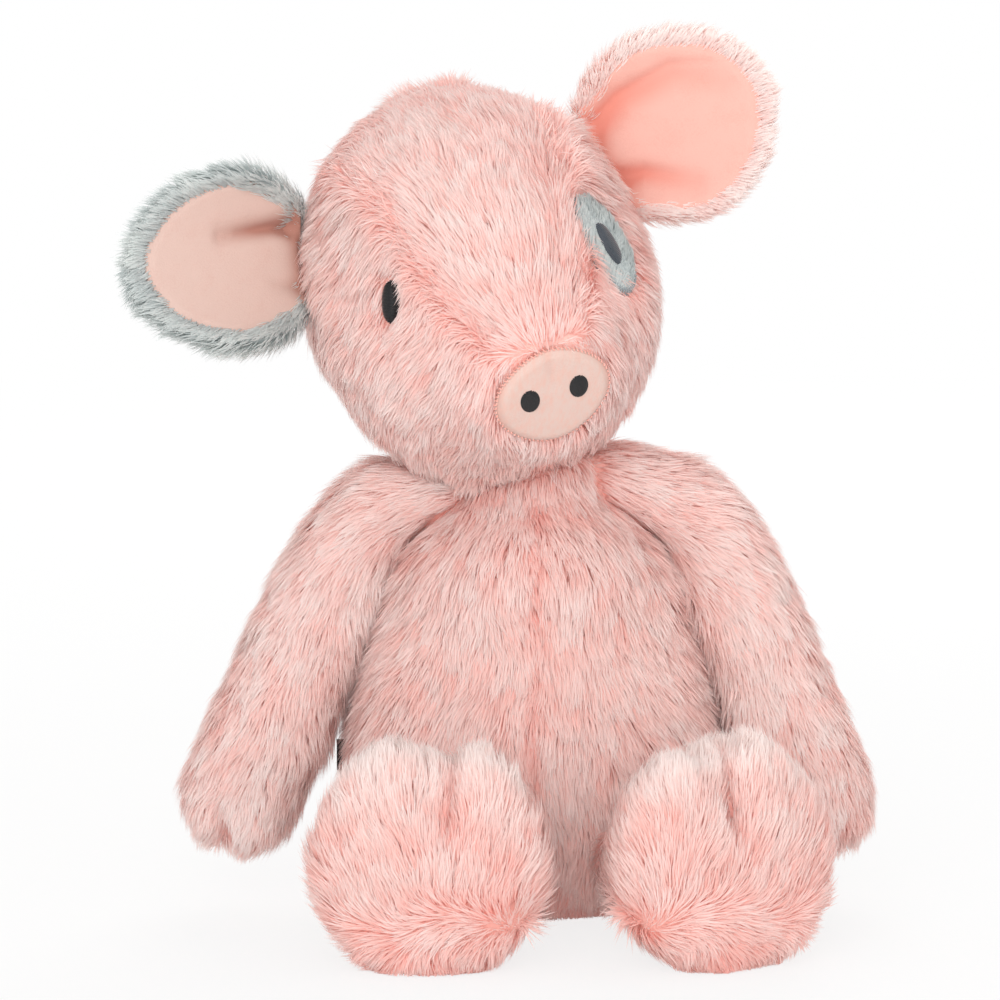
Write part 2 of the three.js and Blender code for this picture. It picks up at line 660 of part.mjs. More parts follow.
// Tail: a stuffed tube of cloth, sewn into the back seam and curled into a ring
const tailRoot = skinPoint(torsoSkin, new THREE.Vector3(0, 0, tailHeight), ahead.clone().negate());
const tail = new THREE.Group();
tail.position.copy(tailRoot.point).addScaledVector(tailRoot.normal, tailTubeRadius + gap);
pig.add(tail);
const tailLead = tailTubeRadius + tailCurlRadius;
const curl = Array.from({ length: Math.round(tailTurns * tailTurnSteps) + 1 }, (_, i) => {
  const turns = i / tailTurnSteps;
  const turn = turns * Math.PI * 2;
  const shrink = tailCurlRadius * (1 - tailShrinkShare * turns);
  return new THREE.Vector3(
    tailPitch * turns,
    tailLead + Math.sin(turn) * shrink,
    tailCurlRadius - Math.cos(turn) * shrink,
  );
});
const tailRoute = new THREE.CatmullRomCurve3([new THREE.Vector3(0, 0, 0), ...curl]);
const tailSection = new THREE.Shape().absarc(0, 0, tailTubeRadius, 0, Math.PI * 2);
const tailTube = new THREE.ExtrudeGeometry(tailSection, {
  steps: Math.round(tailTurns * tailTurnSteps) * 2,
  extrudePath: tailRoute,
  curveSegments: 4,
});
const tailBall = ball(tailTubeRadius, new THREE.Vector3(), { around: 12, along: 8 });
addPiece('tail', solid(tailTube).add(tailBall), pinkFur, tail);

// Side tab: a plain folded ribbon in the right side seam of the body
const tabRoot = skinPoint(torsoSkin, new THREE.Vector3(0, 0, tabSeamHeight), towardsLeft);
const ribbon = new THREE.Shape();
ribbon.moveTo(0, tabThickness / 2);
ribbon.lineTo(0, -tabThickness / 2);
ribbon.lineTo(tabLength - tabThickness / 2, -tabThickness / 2);
ribbon.absarc(tabLength - tabThickness / 2, 0, tabThickness / 2, -Math.PI / 2, Math.PI / 2, false);
ribbon.closePath();
const tab = new THREE.ExtrudeGeometry(ribbon, { depth: tabHeight, bevelEnabled: false, curveSegments: 6 });
tab.rotateZ(Math.PI).translate(-tabRoot.point.x - gap, 0, tabSeamHeight - tabHeight / 2);
addPiece('side_tab', solid(tab).subtract(torsoClear), blackRibbon, pig);

export default pig;
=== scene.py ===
# A sitting plush pig, dressed on its CAD frame: stuffed skins, brushed pile, velour ears and snout, and
# thread eyes. Metres, +Z up, and the pig looks along -Y with its left side on +X.
import json
import math
from functools import partial

import bmesh
import bpy
import numpy as np
from mathutils import Matrix, Vector
from mathutils.bvhtree import BVHTree
from mathutils.noise import noise, noise_vector, seed_set


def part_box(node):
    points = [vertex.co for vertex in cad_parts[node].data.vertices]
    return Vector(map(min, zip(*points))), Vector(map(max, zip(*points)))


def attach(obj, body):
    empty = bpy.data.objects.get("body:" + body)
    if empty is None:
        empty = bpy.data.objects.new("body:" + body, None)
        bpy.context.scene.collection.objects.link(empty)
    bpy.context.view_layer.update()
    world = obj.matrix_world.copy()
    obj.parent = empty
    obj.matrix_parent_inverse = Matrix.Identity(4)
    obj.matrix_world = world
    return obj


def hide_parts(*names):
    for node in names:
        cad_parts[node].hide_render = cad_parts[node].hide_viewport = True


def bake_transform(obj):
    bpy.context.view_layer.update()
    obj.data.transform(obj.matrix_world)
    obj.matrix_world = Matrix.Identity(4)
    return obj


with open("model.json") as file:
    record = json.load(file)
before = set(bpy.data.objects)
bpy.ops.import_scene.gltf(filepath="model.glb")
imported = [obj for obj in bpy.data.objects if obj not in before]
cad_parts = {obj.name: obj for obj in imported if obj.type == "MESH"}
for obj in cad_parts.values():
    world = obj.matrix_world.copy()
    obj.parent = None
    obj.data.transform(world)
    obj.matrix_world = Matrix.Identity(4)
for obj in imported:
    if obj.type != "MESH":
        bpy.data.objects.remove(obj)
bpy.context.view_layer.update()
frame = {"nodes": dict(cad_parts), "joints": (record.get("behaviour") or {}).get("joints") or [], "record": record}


# The table it stands on
# A wide floor of white paper, lit by a large soft key lamp, a wide low fill and a lamp behind, in a bright
# room. The camera stands 1.8 m away and a little above, on a long lens, as a catalogue photographer's does.
def with_settings(thing, **settings):
    """Gives a thing several settings at once."""
    for key, value in settings.items():
        setattr(thing, key, value)
    return thing


def new_object(name, data):
    """Adds an object to the scene."""
    thing = bpy.data.objects.new(name, data)
    bpy.context.scene.collection.objects.link(thing)
    return thing


def built(name, corners, edges, faces):
    """An object made of plain corners, edges and faces."""
    mesh = bpy.data.meshes.new(name)
    mesh.from_pydata(corners, edges, faces)
    return new_object(name, mesh)


def lamp(name, place, aim, size, watts):
    """A square soft lamp that hangs at a place and points at another."""
    light = with_settings(bpy.data.lights.new(name, "AREA"), shape="SQUARE", size=size, energy=watts)
    turn = (Vector(aim) - Vector(place)).to_track_quat("-Z", "Y").to_euler()
    with_settings(new_object(name, light), location=place, rotation_euler=turn)


def add_node(tree, kind, values=(), **settings):
    """A node with its settings. Each socket takes a value or the output of another node."""
    node = with_settings(tree.nodes.new(kind), **settings)
    for socket, value in dict(values).items():
        if isinstance(value, bpy.types.NodeSocket):
            tree.links.new(value, node.inputs[socket])
        else:
            node.inputs[socket].default_value = value
    return node


def looked_at(tree):
    """1 for a ray that the camera sees straight, in a shine or through something clear."""
    path = add_node(tree, "ShaderNodeLightPath").outputs
    seen = path["Is Camera Ray"]
    for kind in ("Is Glossy Ray", "Is Transmission Ray"):
        either = add_node(tree, "ShaderNodeMath", {0: seen, 1: path[kind]}, operation="MAXIMUM")
        seen = either.outputs["Value"]
    return seen


def new_finish(name, numbers):
    """A material with these numbers on its shader, its nodes and that shader."""
    finish = bpy.data.materials.new(name)
    finish.use_nodes = True
    body = finish.node_tree.nodes["Principled BSDF"]
    for label, number in numbers.items():
        body.inputs[label].default_value = number
    return finish, finish.node_tree, body


chest = Vector((0, 0, 0.15))
lamp("key_lamp", (-0.45, -2.0, 0.9), chest, 1.4, 20)
lamp("fill_lamp", (0.7, -1.9, 0.25), chest, 1.6, 13)
lamp("back_lamp", (0.3, 1.5, 1.2), chest, 1.4, 14)

room = bpy.data.worlds.new("room")
bpy.context.scene.world = room
room.use_nodes = True
air = room.node_tree
daylight = air.nodes["Background"]
daylight.inputs["Color"].default_value = (1, 0.99, 0.98, 1)
daylight.inputs["Strength"].default_value = 0.62
white = add_node(air, "ShaderNodeBackground", {"Color": (1, 1, 1, 1)})
backdrop = add_node(air, "ShaderNodeMixShader", {
    "Fac": looked_at(air), 1: daylight.outputs["Background"], 2: white.outputs["Background"],
})
air.links.new(backdrop.outputs["Shader"], air.nodes["World Output"].inputs["Surface"])
bpy.context.scene.view_settings.view_transform = "Standard"

reach = 20.0
paper_floor = built("paper_floor", [
    (-reach, -reach, 0), (reach, -reach, 0), (reach, reach, 0), (-reach, reach, 0),
], [], [(0, 1, 2, 3)])
paper_finish, tree, body = new_finish("white_paper", {"Base Color": (0.93, 0.93, 0.93, 1), "Roughness": 0.9})
paper_floor.data.materials.append(paper_finish)
# The camera sees the paper almost white round the pig, where its shadow still shows, and white from 1.6 m
place = add_node(tree, "ShaderNodeTexCoord").outputs["Object"]
away = add_node(tree, "ShaderNodeVectorMath", {0: place}, operation="LENGTH").outputs["Value"]
fading = add_node(tree, "ShaderNodeMapRange", {
    "Value": away, "From Min": 0.35, "From Max": 1.6, "To Min": 0.8, "To Max": 1.0,
}).outputs["Result"]
share = add_node(tree, "ShaderNodeMath", {0: fading, 1: looked_at(tree)}, operation="MULTIPLY")
glow = add_node(tree, "ShaderNodeEmission", {"Color": (1, 1, 1, 1)})
lit_paper = add_node(tree, "ShaderNodeMixShader", {
    "Fac": share.outputs["Value"], 1: body.outputs["BSDF"], 2: glow.outputs["Emission"],
})
tree.links.new(lit_paper.outputs["Shader"], tree.nodes["Material Output"].inputs["Surface"])

camera_far = 1.8
camera_rise = math.radians(8)
aim = Vector((-0.012, 0, 0.1426))
lens = with_settings(bpy.data.cameras.new("camera"), sensor_width=36, lens=185.1, clip_end=20)
camera = with_settings(
    new_object("camera", lens), rotation_euler=(math.pi / 2 - camera_rise, 0, 0),
    location=aim + camera_far * Vector((0, -math.cos(camera_rise), math.sin(camera_rise))),
)
bpy.context.scene.camera = camera


# Body
# A pear of four sewn panels of pink fur cloth, stuffed with fibre, with seams down its middle and its sides.
# Fur cloth is a knitted back with silky pile about 10 mm long, brushed down and out from the belly seam.
look_ways = 8
free_ways = 5


def outer_wall(node):
    """The faces of a CAD cover that look outwards, with its sewn openings closed.

    Of nine ways from such a face, straight out and leaning all round, free_ways or more meet no cover.
    """
    mesh = bmesh.new()
    mesh.from_mesh(frame["nodes"][node].data)
    bmesh.ops.remove_doubles(mesh, verts=mesh.verts, dist=1e-5)
    whole = BVHTree.FromBMesh(mesh)
    inner = []
    for face in mesh.faces:
        centre, normal = face.calc_center_median(), face.normal
        side = normal.orthogonal().normalized()
        ways = [normal]
        for turn in range(1, look_ways + 1):
            about = Matrix.Rotation(turn * math.tau / look_ways, 3, normal) @ side
            ways.append((normal + about * 0.7).normalized())
        free = sum(whole.ray_cast(centre + normal * 1e-5, way)[0] is None for way in ways)
        if free < free_ways:
            inner.append(face)
    bmesh.ops.delete(mesh, geom=inner, context="FACES")
    bmesh.ops.holes_fill(mesh, edges=mesh.edges, sides=0)
    loose = [v for v in mesh.verts if not v.link_faces]
    bmesh.ops.delete(mesh, geom=loose, context="VERTS")
    return mesh


def smooth_step(low, high, value):
    """0 below low, 1 above high, and a soft ramp between them."""
    t = np.clip((value - low) / (high - low), 0, 1)
    return t * t * (3 - 2 * t)


def unit(rows):
    """Rows made one long, and left at nothing where they are nothing."""
    return rows / np.maximum(np.linalg.norm(rows, axis=-1, keepdims=True), 1e-9)


def points_of(mesh, rows_of="vertices", field="co"):
    """The vertices of a mesh, or their normals, as rows."""
    rows = np.zeros(len(mesh.vertices) * 3, np.float32)
    getattr(mesh, rows_of).foreach_get(field, rows)
    return rows.reshape(-1, 3).astype(float)


normals_of = partial(points_of, rows_of="vertex_normals", field="vector")


def move_points(mesh, rows):
    mesh.vertices.foreach_set("co", np.asarray(rows, np.float32).ravel())
    mesh.update()


def write_rows(mesh, label, rows):
    """Keeps a number or a direction at each vertex of a mesh."""
    rows = np.asarray(rows, np.float32)
    kind, field = ("FLOAT_VECTOR", "vector") if rows.ndim == 2 else ("FLOAT", "value")
    mesh.attributes.new(label, kind, "POINT").data.foreach_set(field, rows.ravel())


def settled(thing):
    """Swaps an object's modifiers for the mesh that they make."""
    bpy.context.view_layer.update()
    shown = thing.evaluated_get(bpy.context.evaluated_depsgraph_get())
    mesh = bpy.data.meshes.new_from_object(shown)
    thing.modifiers.clear()
    old = thing.data
    thing.data = mesh
    bpy.data.meshes.remove(old)
    mesh.name = thing.name
    return thing


def changed(thing, kind, **settings):
    """Gives an object a modifier with its settings."""
    return with_settings(thing.modifiers.new(kind.lower(), kind), **settings)


def round_shaded(thing):
    for polygon in thing.data.polygons:
        polygon.use_smooth = True
    return thing


def new_group(name, took, gave):
    """A Geometry Nodes group with named inputs and one result, and its two end nodes."""
    tree = bpy.data.node_groups.new(name, "GeometryNodeTree")
    for label, kind in took.items():
        tree.interface.new_socket(name=label, in_out="INPUT", socket_type="NodeSocket" + kind)
    tree.interface.new_socket(name=gave, in_out="OUTPUT", socket_type="NodeSocketGeometry")
    return tree, tree.nodes.new("NodeGroupInput").outputs, tree.nodes.new("NodeGroupOutput")


def worked(thing, tree, values):
    """Runs a group on an object with its named inputs, and keeps the mesh that it makes."""
    nodes = thing.modifiers.new(tree.name, "NODES")
    nodes.node_group = tree
    for item in tree.interface.items_tree:
        if item.in_out == "INPUT" and item.name in values:
            nodes[item.identifier] = values[item.name]
    return settled(thing)


def surface_of(meshes):
    """The faces of some meshes together, to measure against."""
    corners, faces = [], []
    for mesh in meshes:
        faces += [[len(corners) + k for k in polygon.vertices] for polygon in mesh.polygons]
        corners += [v.co.copy() for v in mesh.vertices]
    return BVHTree.FromPolygons(corners, faces)


floor_gap = 0.0012  # the pile that the seat presses flat holds the cloth this far off the floor
blow_frames = 20


def stuffed_skin(name, node, tuck=0.0015, swell=4, slack=0.003, grain=0.004, roots=()):
    """The cover of one stuffed form: its outer wall, drawn in by tuck and blown up again as cloth.

    Roots are balls, as (middle, radius), that carry the form on under its neighbour, where it is sewn in.
    """
    walls = outer_wall(node)
    for middle, radius in roots:
        place = Matrix.Translation(middle)
        bmesh.ops.create_icosphere(walls, subdivisions=3, radius=radius, matrix=place)
    mesh = bpy.data.meshes.new(name)
    walls.to_mesh(mesh)
    walls.free()
    skin = new_object(name, mesh)
    changed(skin, "REMESH", mode="VOXEL", voxel_size=grain)
    changed(skin, "SMOOTH", iterations=6, factor=0.5)
    settled(skin)
    move_points(skin.data, points_of(skin.data) - tuck * normals_of(skin.data))
    start = points_of(skin.data)
    blown = changed(skin, "CLOTH")
    with_settings(blown.settings, quality=5, mass=0.2, use_pressure=True, uniform_pressure_force=swell)
    blown.settings.effector_weights.gravity = 0
    with_settings(blown.point_cache, frame_start=1, frame_end=blow_frames)
    for moment in range(1, blow_frames + 1):
        bpy.context.scene.frame_set(moment)
    settled(skin)
    bpy.context.scene.frame_set(1)
    step = points_of(skin.data) - start
    far = np.linalg.norm(step, axis=1, keepdims=True)
    move_points(skin.data, start + step * np.minimum(1, slack / np.maximum(far, 1e-9)))
    changed(skin, "SUBSURF", levels=1, render_levels=1)
    settled(skin)
    low = points_of(skin.data)
    low[:, 2] = np.maximum(low[:, 2], floor_gap)
    move_points(skin.data, low)
    return round_shaded(skin)


# One wisp stands for a few dozen hairs: a slim bent leaf, one unit wide and high, that looks along -Y
strand_mesh = bpy.data.meshes.new("strand")
wisp_steps = [(0.0, 0.0, 0.0), (0.5, -0.06, 0.3), (0.45, 0.06, 0.62), (0.0, 0.3, 0.96)]
strand_mesh.from_pydata(
    [wisp_steps[0]]
    + [(side * w, bow, up) for w, bow, up in wisp_steps[1:3] for side in (1, -1)]
    + [wisp_steps[3]],
    [],
    [(0, 1, 2), (1, 3, 4, 2), (3, 5, 4)],
)
write_rows(strand_mesh, "along", [0, 0.3, 0.3, 0.62, 0.62, 1])
write_rows(strand_mesh, "side", [0, 1, -1, 1, -1, 0])
strand = bpy.data.objects.new("strand", strand_mesh)
bake_columns = 256


def pile_tree():
    """Nodes that grow wisps from a skin with comb, grow, out, long, thick and shade at its vertices.

    Wisps gather in locks. Each keeps one number, tone, which with the height along the wisp gives its
    colour, and its place on the baked picture is that column and that height.
    """
    tree, given, made = new_group("pile", {
        "Skin": "Geometry", "Wisps per square metre": "Float", "Wisp width": "Float",
        "Lock spacing": "Float", "Gather": "Float", "Ruffle": "Float", "Tousle": "Float", "Seed": "Int",
        "Strand": "Object", "Finish": "Material",
    }, "Pile")
    add = partial(add_node, tree)

    def carried(label, kind="FLOAT"):
        return add("GeometryNodeInputNamedAttribute", {"Name": label}, data_type=kind).outputs["Attribute"]

    carried_way = partial(carried, kind="FLOAT_VECTOR")

    def vector(operation, first, second):
        place = "Scale" if operation == "SCALE" else 1
        return add("ShaderNodeVectorMath", {0: first, place: second}, operation=operation).outputs["Vector"]

    def number(operation, first, second, third=0.0):
        return add("ShaderNodeMath", {0: first, 1: second, 2: third}, operation=operation).outputs["Value"]

    def chance(low, high, seed, label=None):
        values = {2: low, 3: high, "Seed": seed} | ({"ID": label} if label else {})
        return add("FunctionNodeRandomValue", values, data_type="FLOAT").outputs[1]

    def any_way(seed, label=None):
        values = {0: (-1, -1, -1), 1: (1, 1, 1), "Seed": seed} | ({"ID": label} if label else {})
        return add("FunctionNodeRandomValue", values, data_type="FLOAT_VECTOR").outputs[0]

    def kept(geometry, label, kind, value, domain="POINT"):
        values = {"Geometry": geometry, "Name": label, "Value": value}
        node = add("GeometryNodeStoreNamedAttribute", values, data_type=kind, domain=domain)
        return node.outputs["Geometry"]

    def moved(geometry, socket, value):
        return add("GeometryNodeSetPosition", {"Geometry": geometry, socket: value}).outputs["Geometry"]

    def joined(x, y, z):
        return add("ShaderNodeCombineXYZ", {"X": x, "Y": y, "Z": z}).outputs["Vector"]

    place = add("GeometryNodeInputPosition").outputs["Position"]
    density = number("MULTIPLY", given["Wisps per square metre"], carried("thick"))
    spread = {"Mesh": given["Skin"], "Seed": given["Seed"], "Density": density}
    roots = add("GeometryNodeDistributePointsOnFaces", spread, distribute_method="RANDOM").outputs["Points"]
    spread = {"Mesh": given["Skin"], "Distance Min": given["Lock spacing"], "Density Max": 1e6,
              "Seed": number("ADD", given["Seed"], 57)}
    locks = add("GeometryNodeDistributePointsOnFaces", spread, distribute_method="POISSON").outputs["Points"]
    lock = add("GeometryNodeSampleNearest", {"Geometry": locks}, domain="POINT").outputs["Index"]
    middle = add("GeometryNodeSampleIndex", {"Geometry": locks, "Value": place, "Index": lock},
                 data_type="FLOAT_VECTOR", domain="POINT").outputs["Value"]
    pull = vector("SCALE", vector("SUBTRACT", middle, place), chance(0.35, 1.0, 3, lock))
    tone = number("MULTIPLY_ADD", chance(-0.5, 0.5, 31, lock), 0.4, carried("shade"))
    noted = kept(roots, "pull", "FLOAT_VECTOR", pull)
    noted = kept(noted, "tone", "FLOAT", tone)
    noted = kept(noted, "tousled", "FLOAT_VECTOR", any_way(37, lock))

    grow = vector("ADD", carried_way("grow"), vector("SCALE", any_way(11), given["Ruffle"]))
    grow = vector("ADD", grow, vector("SCALE", carried_way("tousled"), given["Tousle"]))
    turn = add("FunctionNodeAxesToRotation", {"Primary Axis": grow, "Secondary Axis": carried_way("comb")},
               primary_axis="Z", secondary_axis="Y").outputs[0]
    roll = add("FunctionNodeAxisAngleToRotation", {"Axis": (0, 0, 1), "Angle": chance(-0.4, 0.4, 5)})
    turned = add("FunctionNodeRotateRotation", {"Rotation": turn, "Rotate By": roll.outputs[0]},
                 rotation_space="LOCAL").outputs[0]
    length = number("MULTIPLY", carried("long"), chance(0.7, 1.15, 7))
    leaf = add("GeometryNodeObjectInfo", {"Object": given["Strand"]}).outputs["Geometry"]
    planted = add("GeometryNodeInstanceOnPoints", {
        "Points": noted, "Instance": leaf, "Rotation": turned,
        "Scale": joined(given["Wisp width"], length, length),
    }).outputs["Instances"]
    own = number("MULTIPLY_ADD", chance(-0.5, 0.5, 23), 0.18, carried("tone"))
    own = number("MINIMUM", number("MAXIMUM", own, 0.0), 1.0)
    lit = vector("ADD", carried_way("out"), vector("SCALE", any_way(41), 0.14))
    toned = kept(planted, "tone", "FLOAT", own, "INSTANCE")
    toned = kept(toned, "lit", "FLOAT_VECTOR", lit, "INSTANCE")
    real = add("GeometryNodeRealizeInstances", {"Geometry": toned}).outputs["Geometry"]

    gathered = number("MULTIPLY", number("POWER", carried("along"), 1.5), given["Gather"])
    drawn = moved(real, "Offset", vector("SCALE", carried_way("pull"), gathered))
    parts = add("ShaderNodeSeparateXYZ", {"Vector": place}).outputs
    drawn = moved(drawn, "Position", joined(parts["X"], parts["Y"], number("MAXIMUM", parts["Z"], 0.0003)))
    column = number("FLOOR", number("MULTIPLY", carried("tone"), bake_columns - 1.0), 0.0)
    column = number("ADD", column, number("MULTIPLY_ADD", carried("side"), 0.35, 0.5))
    row = number("MULTIPLY_ADD", carried("along"), 0.96, 0.02)
    spot = joined(number("DIVIDE", column, float(bake_columns)), row, 0.0)
    mapped = kept(drawn, "OFBake", "FLOAT2", spot, "CORNER")
    facing = add("GeometryNodeInputNormal").outputs["Normal"]
    facing = vector("ADD", carried_way("lit"), vector("SCALE", facing, 0.12))
    soft = add("GeometryNodeSetMeshNormal", {"Mesh": mapped, "Custom Normal": facing},
               mode="FREE", domain="POINT").outputs["Mesh"]
    painted = add("GeometryNodeSetMaterial", {"Geometry": soft, "Material": given["Finish"]})
    tree.links.new(painted.outputs["Geometry"], made.inputs["Pile"])
    return tree


pile_nodes = pile_tree()
piles_grown = []


def grown_pile(name, skin, finish, panel=1.0, per_square_metre=2.2e6, width=0.00044, spacing=0.0042,
               gather=0.36, ruffle=0.1, tousle=0.1):
    """The pile of one panel of a skin as a plain mesh. The panel is 1 on its own vertices, 0 elsewhere."""
    grower = new_object(name, skin.data.copy())
    thick = np.zeros(len(grower.data.vertices), np.float32)
    grower.data.attributes["thick"].data.foreach_get("value", thick)
    grower.data.attributes["thick"].data.foreach_set("value", (thick * panel).astype(np.float32))
    piles_grown.append(name)
    return worked(grower, pile_nodes, {
        "Wisps per square metre": per_square_metre, "Wisp width": width, "Lock spacing": spacing,
        "Gather": gather, "Ruffle": ruffle, "Tousle": tousle, "Seed": len(piles_grown), "Strand": strand,
        "Finish": finish,
    })


def as_written(red, green, blue):
    """A colour picked as it looks on the screen, 0 to 255, for a shader."""
    parts = [((c / 255 + 0.055) / 1.055) ** 2.4 if c > 10 else c / 3294.6 for c in (red, green, blue)]
    return (*parts, 1)


def fur_finish(name, stops):
    """Soft pile, deep at the root, where the light is lost, and pale at the tip, by (share, colour)."""
    finish, tree, body = new_finish(name, {
        "Roughness": 0.7, "Specular IOR Level": 0.2, "Sheen Weight": 0.2, "Sheen Roughness": 0.5,
        "Sheen Tint": (1, 0.93, 0.9, 1),
    })
    height, tone = (
        add_node(tree, "ShaderNodeAttribute", attribute_name=label).outputs["Fac"]
        for label in ("along", "tone")
    )
    climb = add_node(tree, "ShaderNodeMath", {0: height, 1: 0.55}, operation="MULTIPLY").outputs["Value"]
    both = add_node(tree, "ShaderNodeMath", {0: tone, 1: 0.6, 2: climb}, operation="MULTIPLY_ADD")
    ramp = add_node(tree, "ShaderNodeValToRGB", {"Fac": both.outputs["Value"]})
    marks = ramp.color_ramp.elements
    for index, (share, colour) in enumerate(stops):
        stop = marks[0] if index == 0 else marks.new(share)
        stop.position = share
        stop.color = as_written(*colour)
    marks.remove(marks[-1])
    colour = ramp.outputs["Color"]
    tree.links.new(colour, body.inputs["Base Color"])
    through = add_node(tree, "ShaderNodeBsdfTranslucent", {"Color": colour}).outputs["BSDF"]
    mix = add_node(tree, "ShaderNodeMixShader", {"Fac": 0.42, 1: body.outputs["BSDF"], 2: through})
    tree.links.new(mix.outputs["Shader"], tree.nodes["Material Output"].inputs["Surface"])
    return finish


pink_pile = fur_finish("pink_pile", [
    (0.12, (252, 184, 172)), (0.42, (255, 215, 207)), (0.68, (255, 232, 227)), (0.95, (255, 246, 243)),
])


def cloth_finish(name, colour, mottle, stitch_size=0.0009, roughness=0.9, sheen=0.2, rough_cloth=0.3,
                 shine=0.2):
    """A matt cloth of one colour, with mottling, a fine grain and a little sheen."""
    finish, tree, body = new_finish(name, {
        "Roughness": roughness, "Specular IOR Level": shine, "Sheen Weight": sheen, "Sheen Roughness": 0.4,
    })
    where = add_node(tree, "ShaderNodeTexCoord").outputs["Object"]
    patches, grain = (
        add_node(tree, "ShaderNodeTexNoise", {
            "Vector": where, "Scale": scale, "Detail": detail,
        }).outputs["Fac"] for scale, detail in ((110, 6), (1 / stitch_size, 2))
    )
    mixed = add_node(tree, "ShaderNodeMath", {0: patches, 1: grain}, operation="ADD").outputs["Value"]
    colours = add_node(tree, "ShaderNodeValToRGB", {"Fac": mixed})
    for mark, place, tint in zip(colours.color_ramp.elements, (0.7, 1.0), (mottle, colour)):
        mark.position = place
        mark.color = as_written(*tint)
    bump = add_node(tree, "ShaderNodeBump", {
        "Strength": rough_cloth, "Distance": stitch_size * 0.4, "Height": grain,
    })
    tree.links.new(bump.outputs["Normal"], body.inputs["Normal"])
    tree.links.new(colours.outputs["Color"], body.inputs["Base Color"])
    return finish


pink_ground = cloth_finish("pink_fur_ground", (254, 206, 196), (252, 188, 177))


seed_set(1)  # without it noise_vector gives other directions in every run


def drift(points, size, amount, seed):
    """A soft wandering direction at each point, which changes over about the given distance."""
    shift = Vector((3.1 * seed, 7.3 * seed, 0))
    return amount * np.array([noise_vector(Vector(p) / size + shift) for p in points])


def drift_level(points, size, seed):
    """A soft wandering number at each point, from about -1 to 1."""
    shift = Vector((5.7 * seed, 0, 2.9 * seed))
    return np.array([noise(Vector(p) / size + shift) for p in points])


far_off = 0.05  # how far away another form has to be before it doesn't matter


def room_above(skin, body_name):
    """How far each vertex's wisp can grow before it meets a cover of another body."""
    walls = surface_of(
        frame["nodes"][name].data for owner, names in frame["record"]["behaviour"]["bodies"].items()
        for name in names if owner != body_name
    )
    far = np.full(len(skin.data.vertices), far_off)
    for index, (point, normal) in enumerate(zip(points_of(skin.data), normals_of(skin.data))):
        hit = walls.ray_cast(Vector(point), Vector(normal), far_off)
        if hit[0] is not None:
            leaves_a_solid = hit[1].dot(Vector(normal)) > 0
            far[index] = 0 if leaves_a_solid else hit[3]
    return far


def brush(skin, body_name, comb, lean=0.92, long=0.0105, thick=1.0, shade=0.5, lit=None):
    """Writes at each vertex of a skin how its pile lies, is cut and is coloured; its shade is partly dye and
    partly painted light and shade.

    A wisp leans less where the brush runs square to the cloth, and is cut short where another form is near.
    Lit turns the way that thin fluffy pile takes the light from.
    """
    points, normal = points_of(skin.data), normals_of(skin.data)
    comb = unit(comb) + drift(points, 0.03, 0.35, 1) + drift(points, 0.008, 0.4, 2)
    comb -= (comb * normal).sum(axis=1, keepdims=True) * normal
    flow = np.clip(np.linalg.norm(comb, axis=1), 0, 1)
    lean = np.broadcast_to(lean, len(points)) * smooth_step(0.0, 0.75, flow)
    comb = unit(comb)
    grow = normal * np.cos(lean)[:, None] + comb * np.sin(lean)[:, None]
    free = room_above(skin, body_name)
    long = np.minimum(long * (1 + 0.16 * drift_level(points, 0.012, 3)), 0.0012 + 0.8 * free)
    thick = thick * smooth_step(0.0008, 0.004, free)
    shade = shade + 0.1 * drift_level(points, 0.022, 4)
    out = normal if lit is None else unit(normal + lit)
    for label, rows in (("comb", comb), ("grow", grow), ("out", out)):
        write_rows(skin.data, label, rows)
    for label, row in (("long", long), ("thick", thick), ("shade", shade)):
        write_rows(skin.data, label, np.broadcast_to(row, len(points)))


def near_line(distance, width):
    """1 on a line and nothing a few widths away from it."""
    return np.exp(-((distance / width) ** 2))


def fixed(piece, body_name, node=None):
    """Fixes a piece to a body, in place of a CAD node where one is named."""
    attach(piece, body_name)
    if node:
        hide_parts(node)


def dressed(skin, body_name, node, finish, ground, panels, slot, sewn_into=None, **pile):
    """Fixes a brushed skin and the pile of its panels to a body, in place of a CAD node.

    Where it is sewn into another body, sewn_into names that and the two ends of the stretch that bends, but
    only whether it is given is read: the skin and its shoulder panel then stay in place, fixed to no body.
    """
    skin.data.materials.clear()
    skin.data.materials.append(ground)
    grown = [grown_pile(f"{panel}_pile", skin, finish, mask, **pile) for panel, mask in panels.items()]
    for piece in [skin] + grown:
        if sewn_into and (piece is skin or piece.name.startswith("shoulder")):
            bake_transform(piece)
        else:
            fixed(piece, body_name)
    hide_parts(node)


pink_fur = dict(finish=pink_pile, ground=pink_ground, slot="pink_fur")


# The balls that carry each arm on under the jaw, from the side of the neck to the shoulder
shoulder_roots = [
    (Vector((0.024 + 0.0275 * share, 0, 0.150 - 0.0085 * share)), 0.0135 + 0.002 * share)
    for share in np.linspace(0, 1, 5)
]
torso_skin = stuffed_skin("torso_skin", "torso_cover", tuck=0)
spot = points_of(torso_skin.data)
beside_arm = smooth_step(0.03, 0.05, np.abs(spot[:, 0])) * smooth_step(0.03, 0.05, spot[:, 2])
beside_arm = beside_arm * smooth_step(0.135, 0.115, spot[:, 2]) * smooth_step(0.03, 0.01, spot[:, 1])
spot = spot + 0.0022 * beside_arm[:, None] * normals_of(torso_skin.data)
move_points(torso_skin.data, spot)
mirrored = np.abs(spot) * (1, 0, 0) + spot * (0, 1, 1)
root_off = np.min([np.linalg.norm(mirrored - np.array(m), axis=1) - r for m, r in shoulder_roots], axis=0)
belly_seam = near_line(spot[:, 0], 0.0022) * (spot[:, 2] < 0.15)
neck_seam = near_line(spot[:, 2] - 0.141, 0.002) * near_line(spot[:, 0] - 0.004, 0.014) * (spot[:, 1] < 0)
side_seam = near_line(spot[:, 1], 0.0022) * (spot[:, 2] < 0.12)
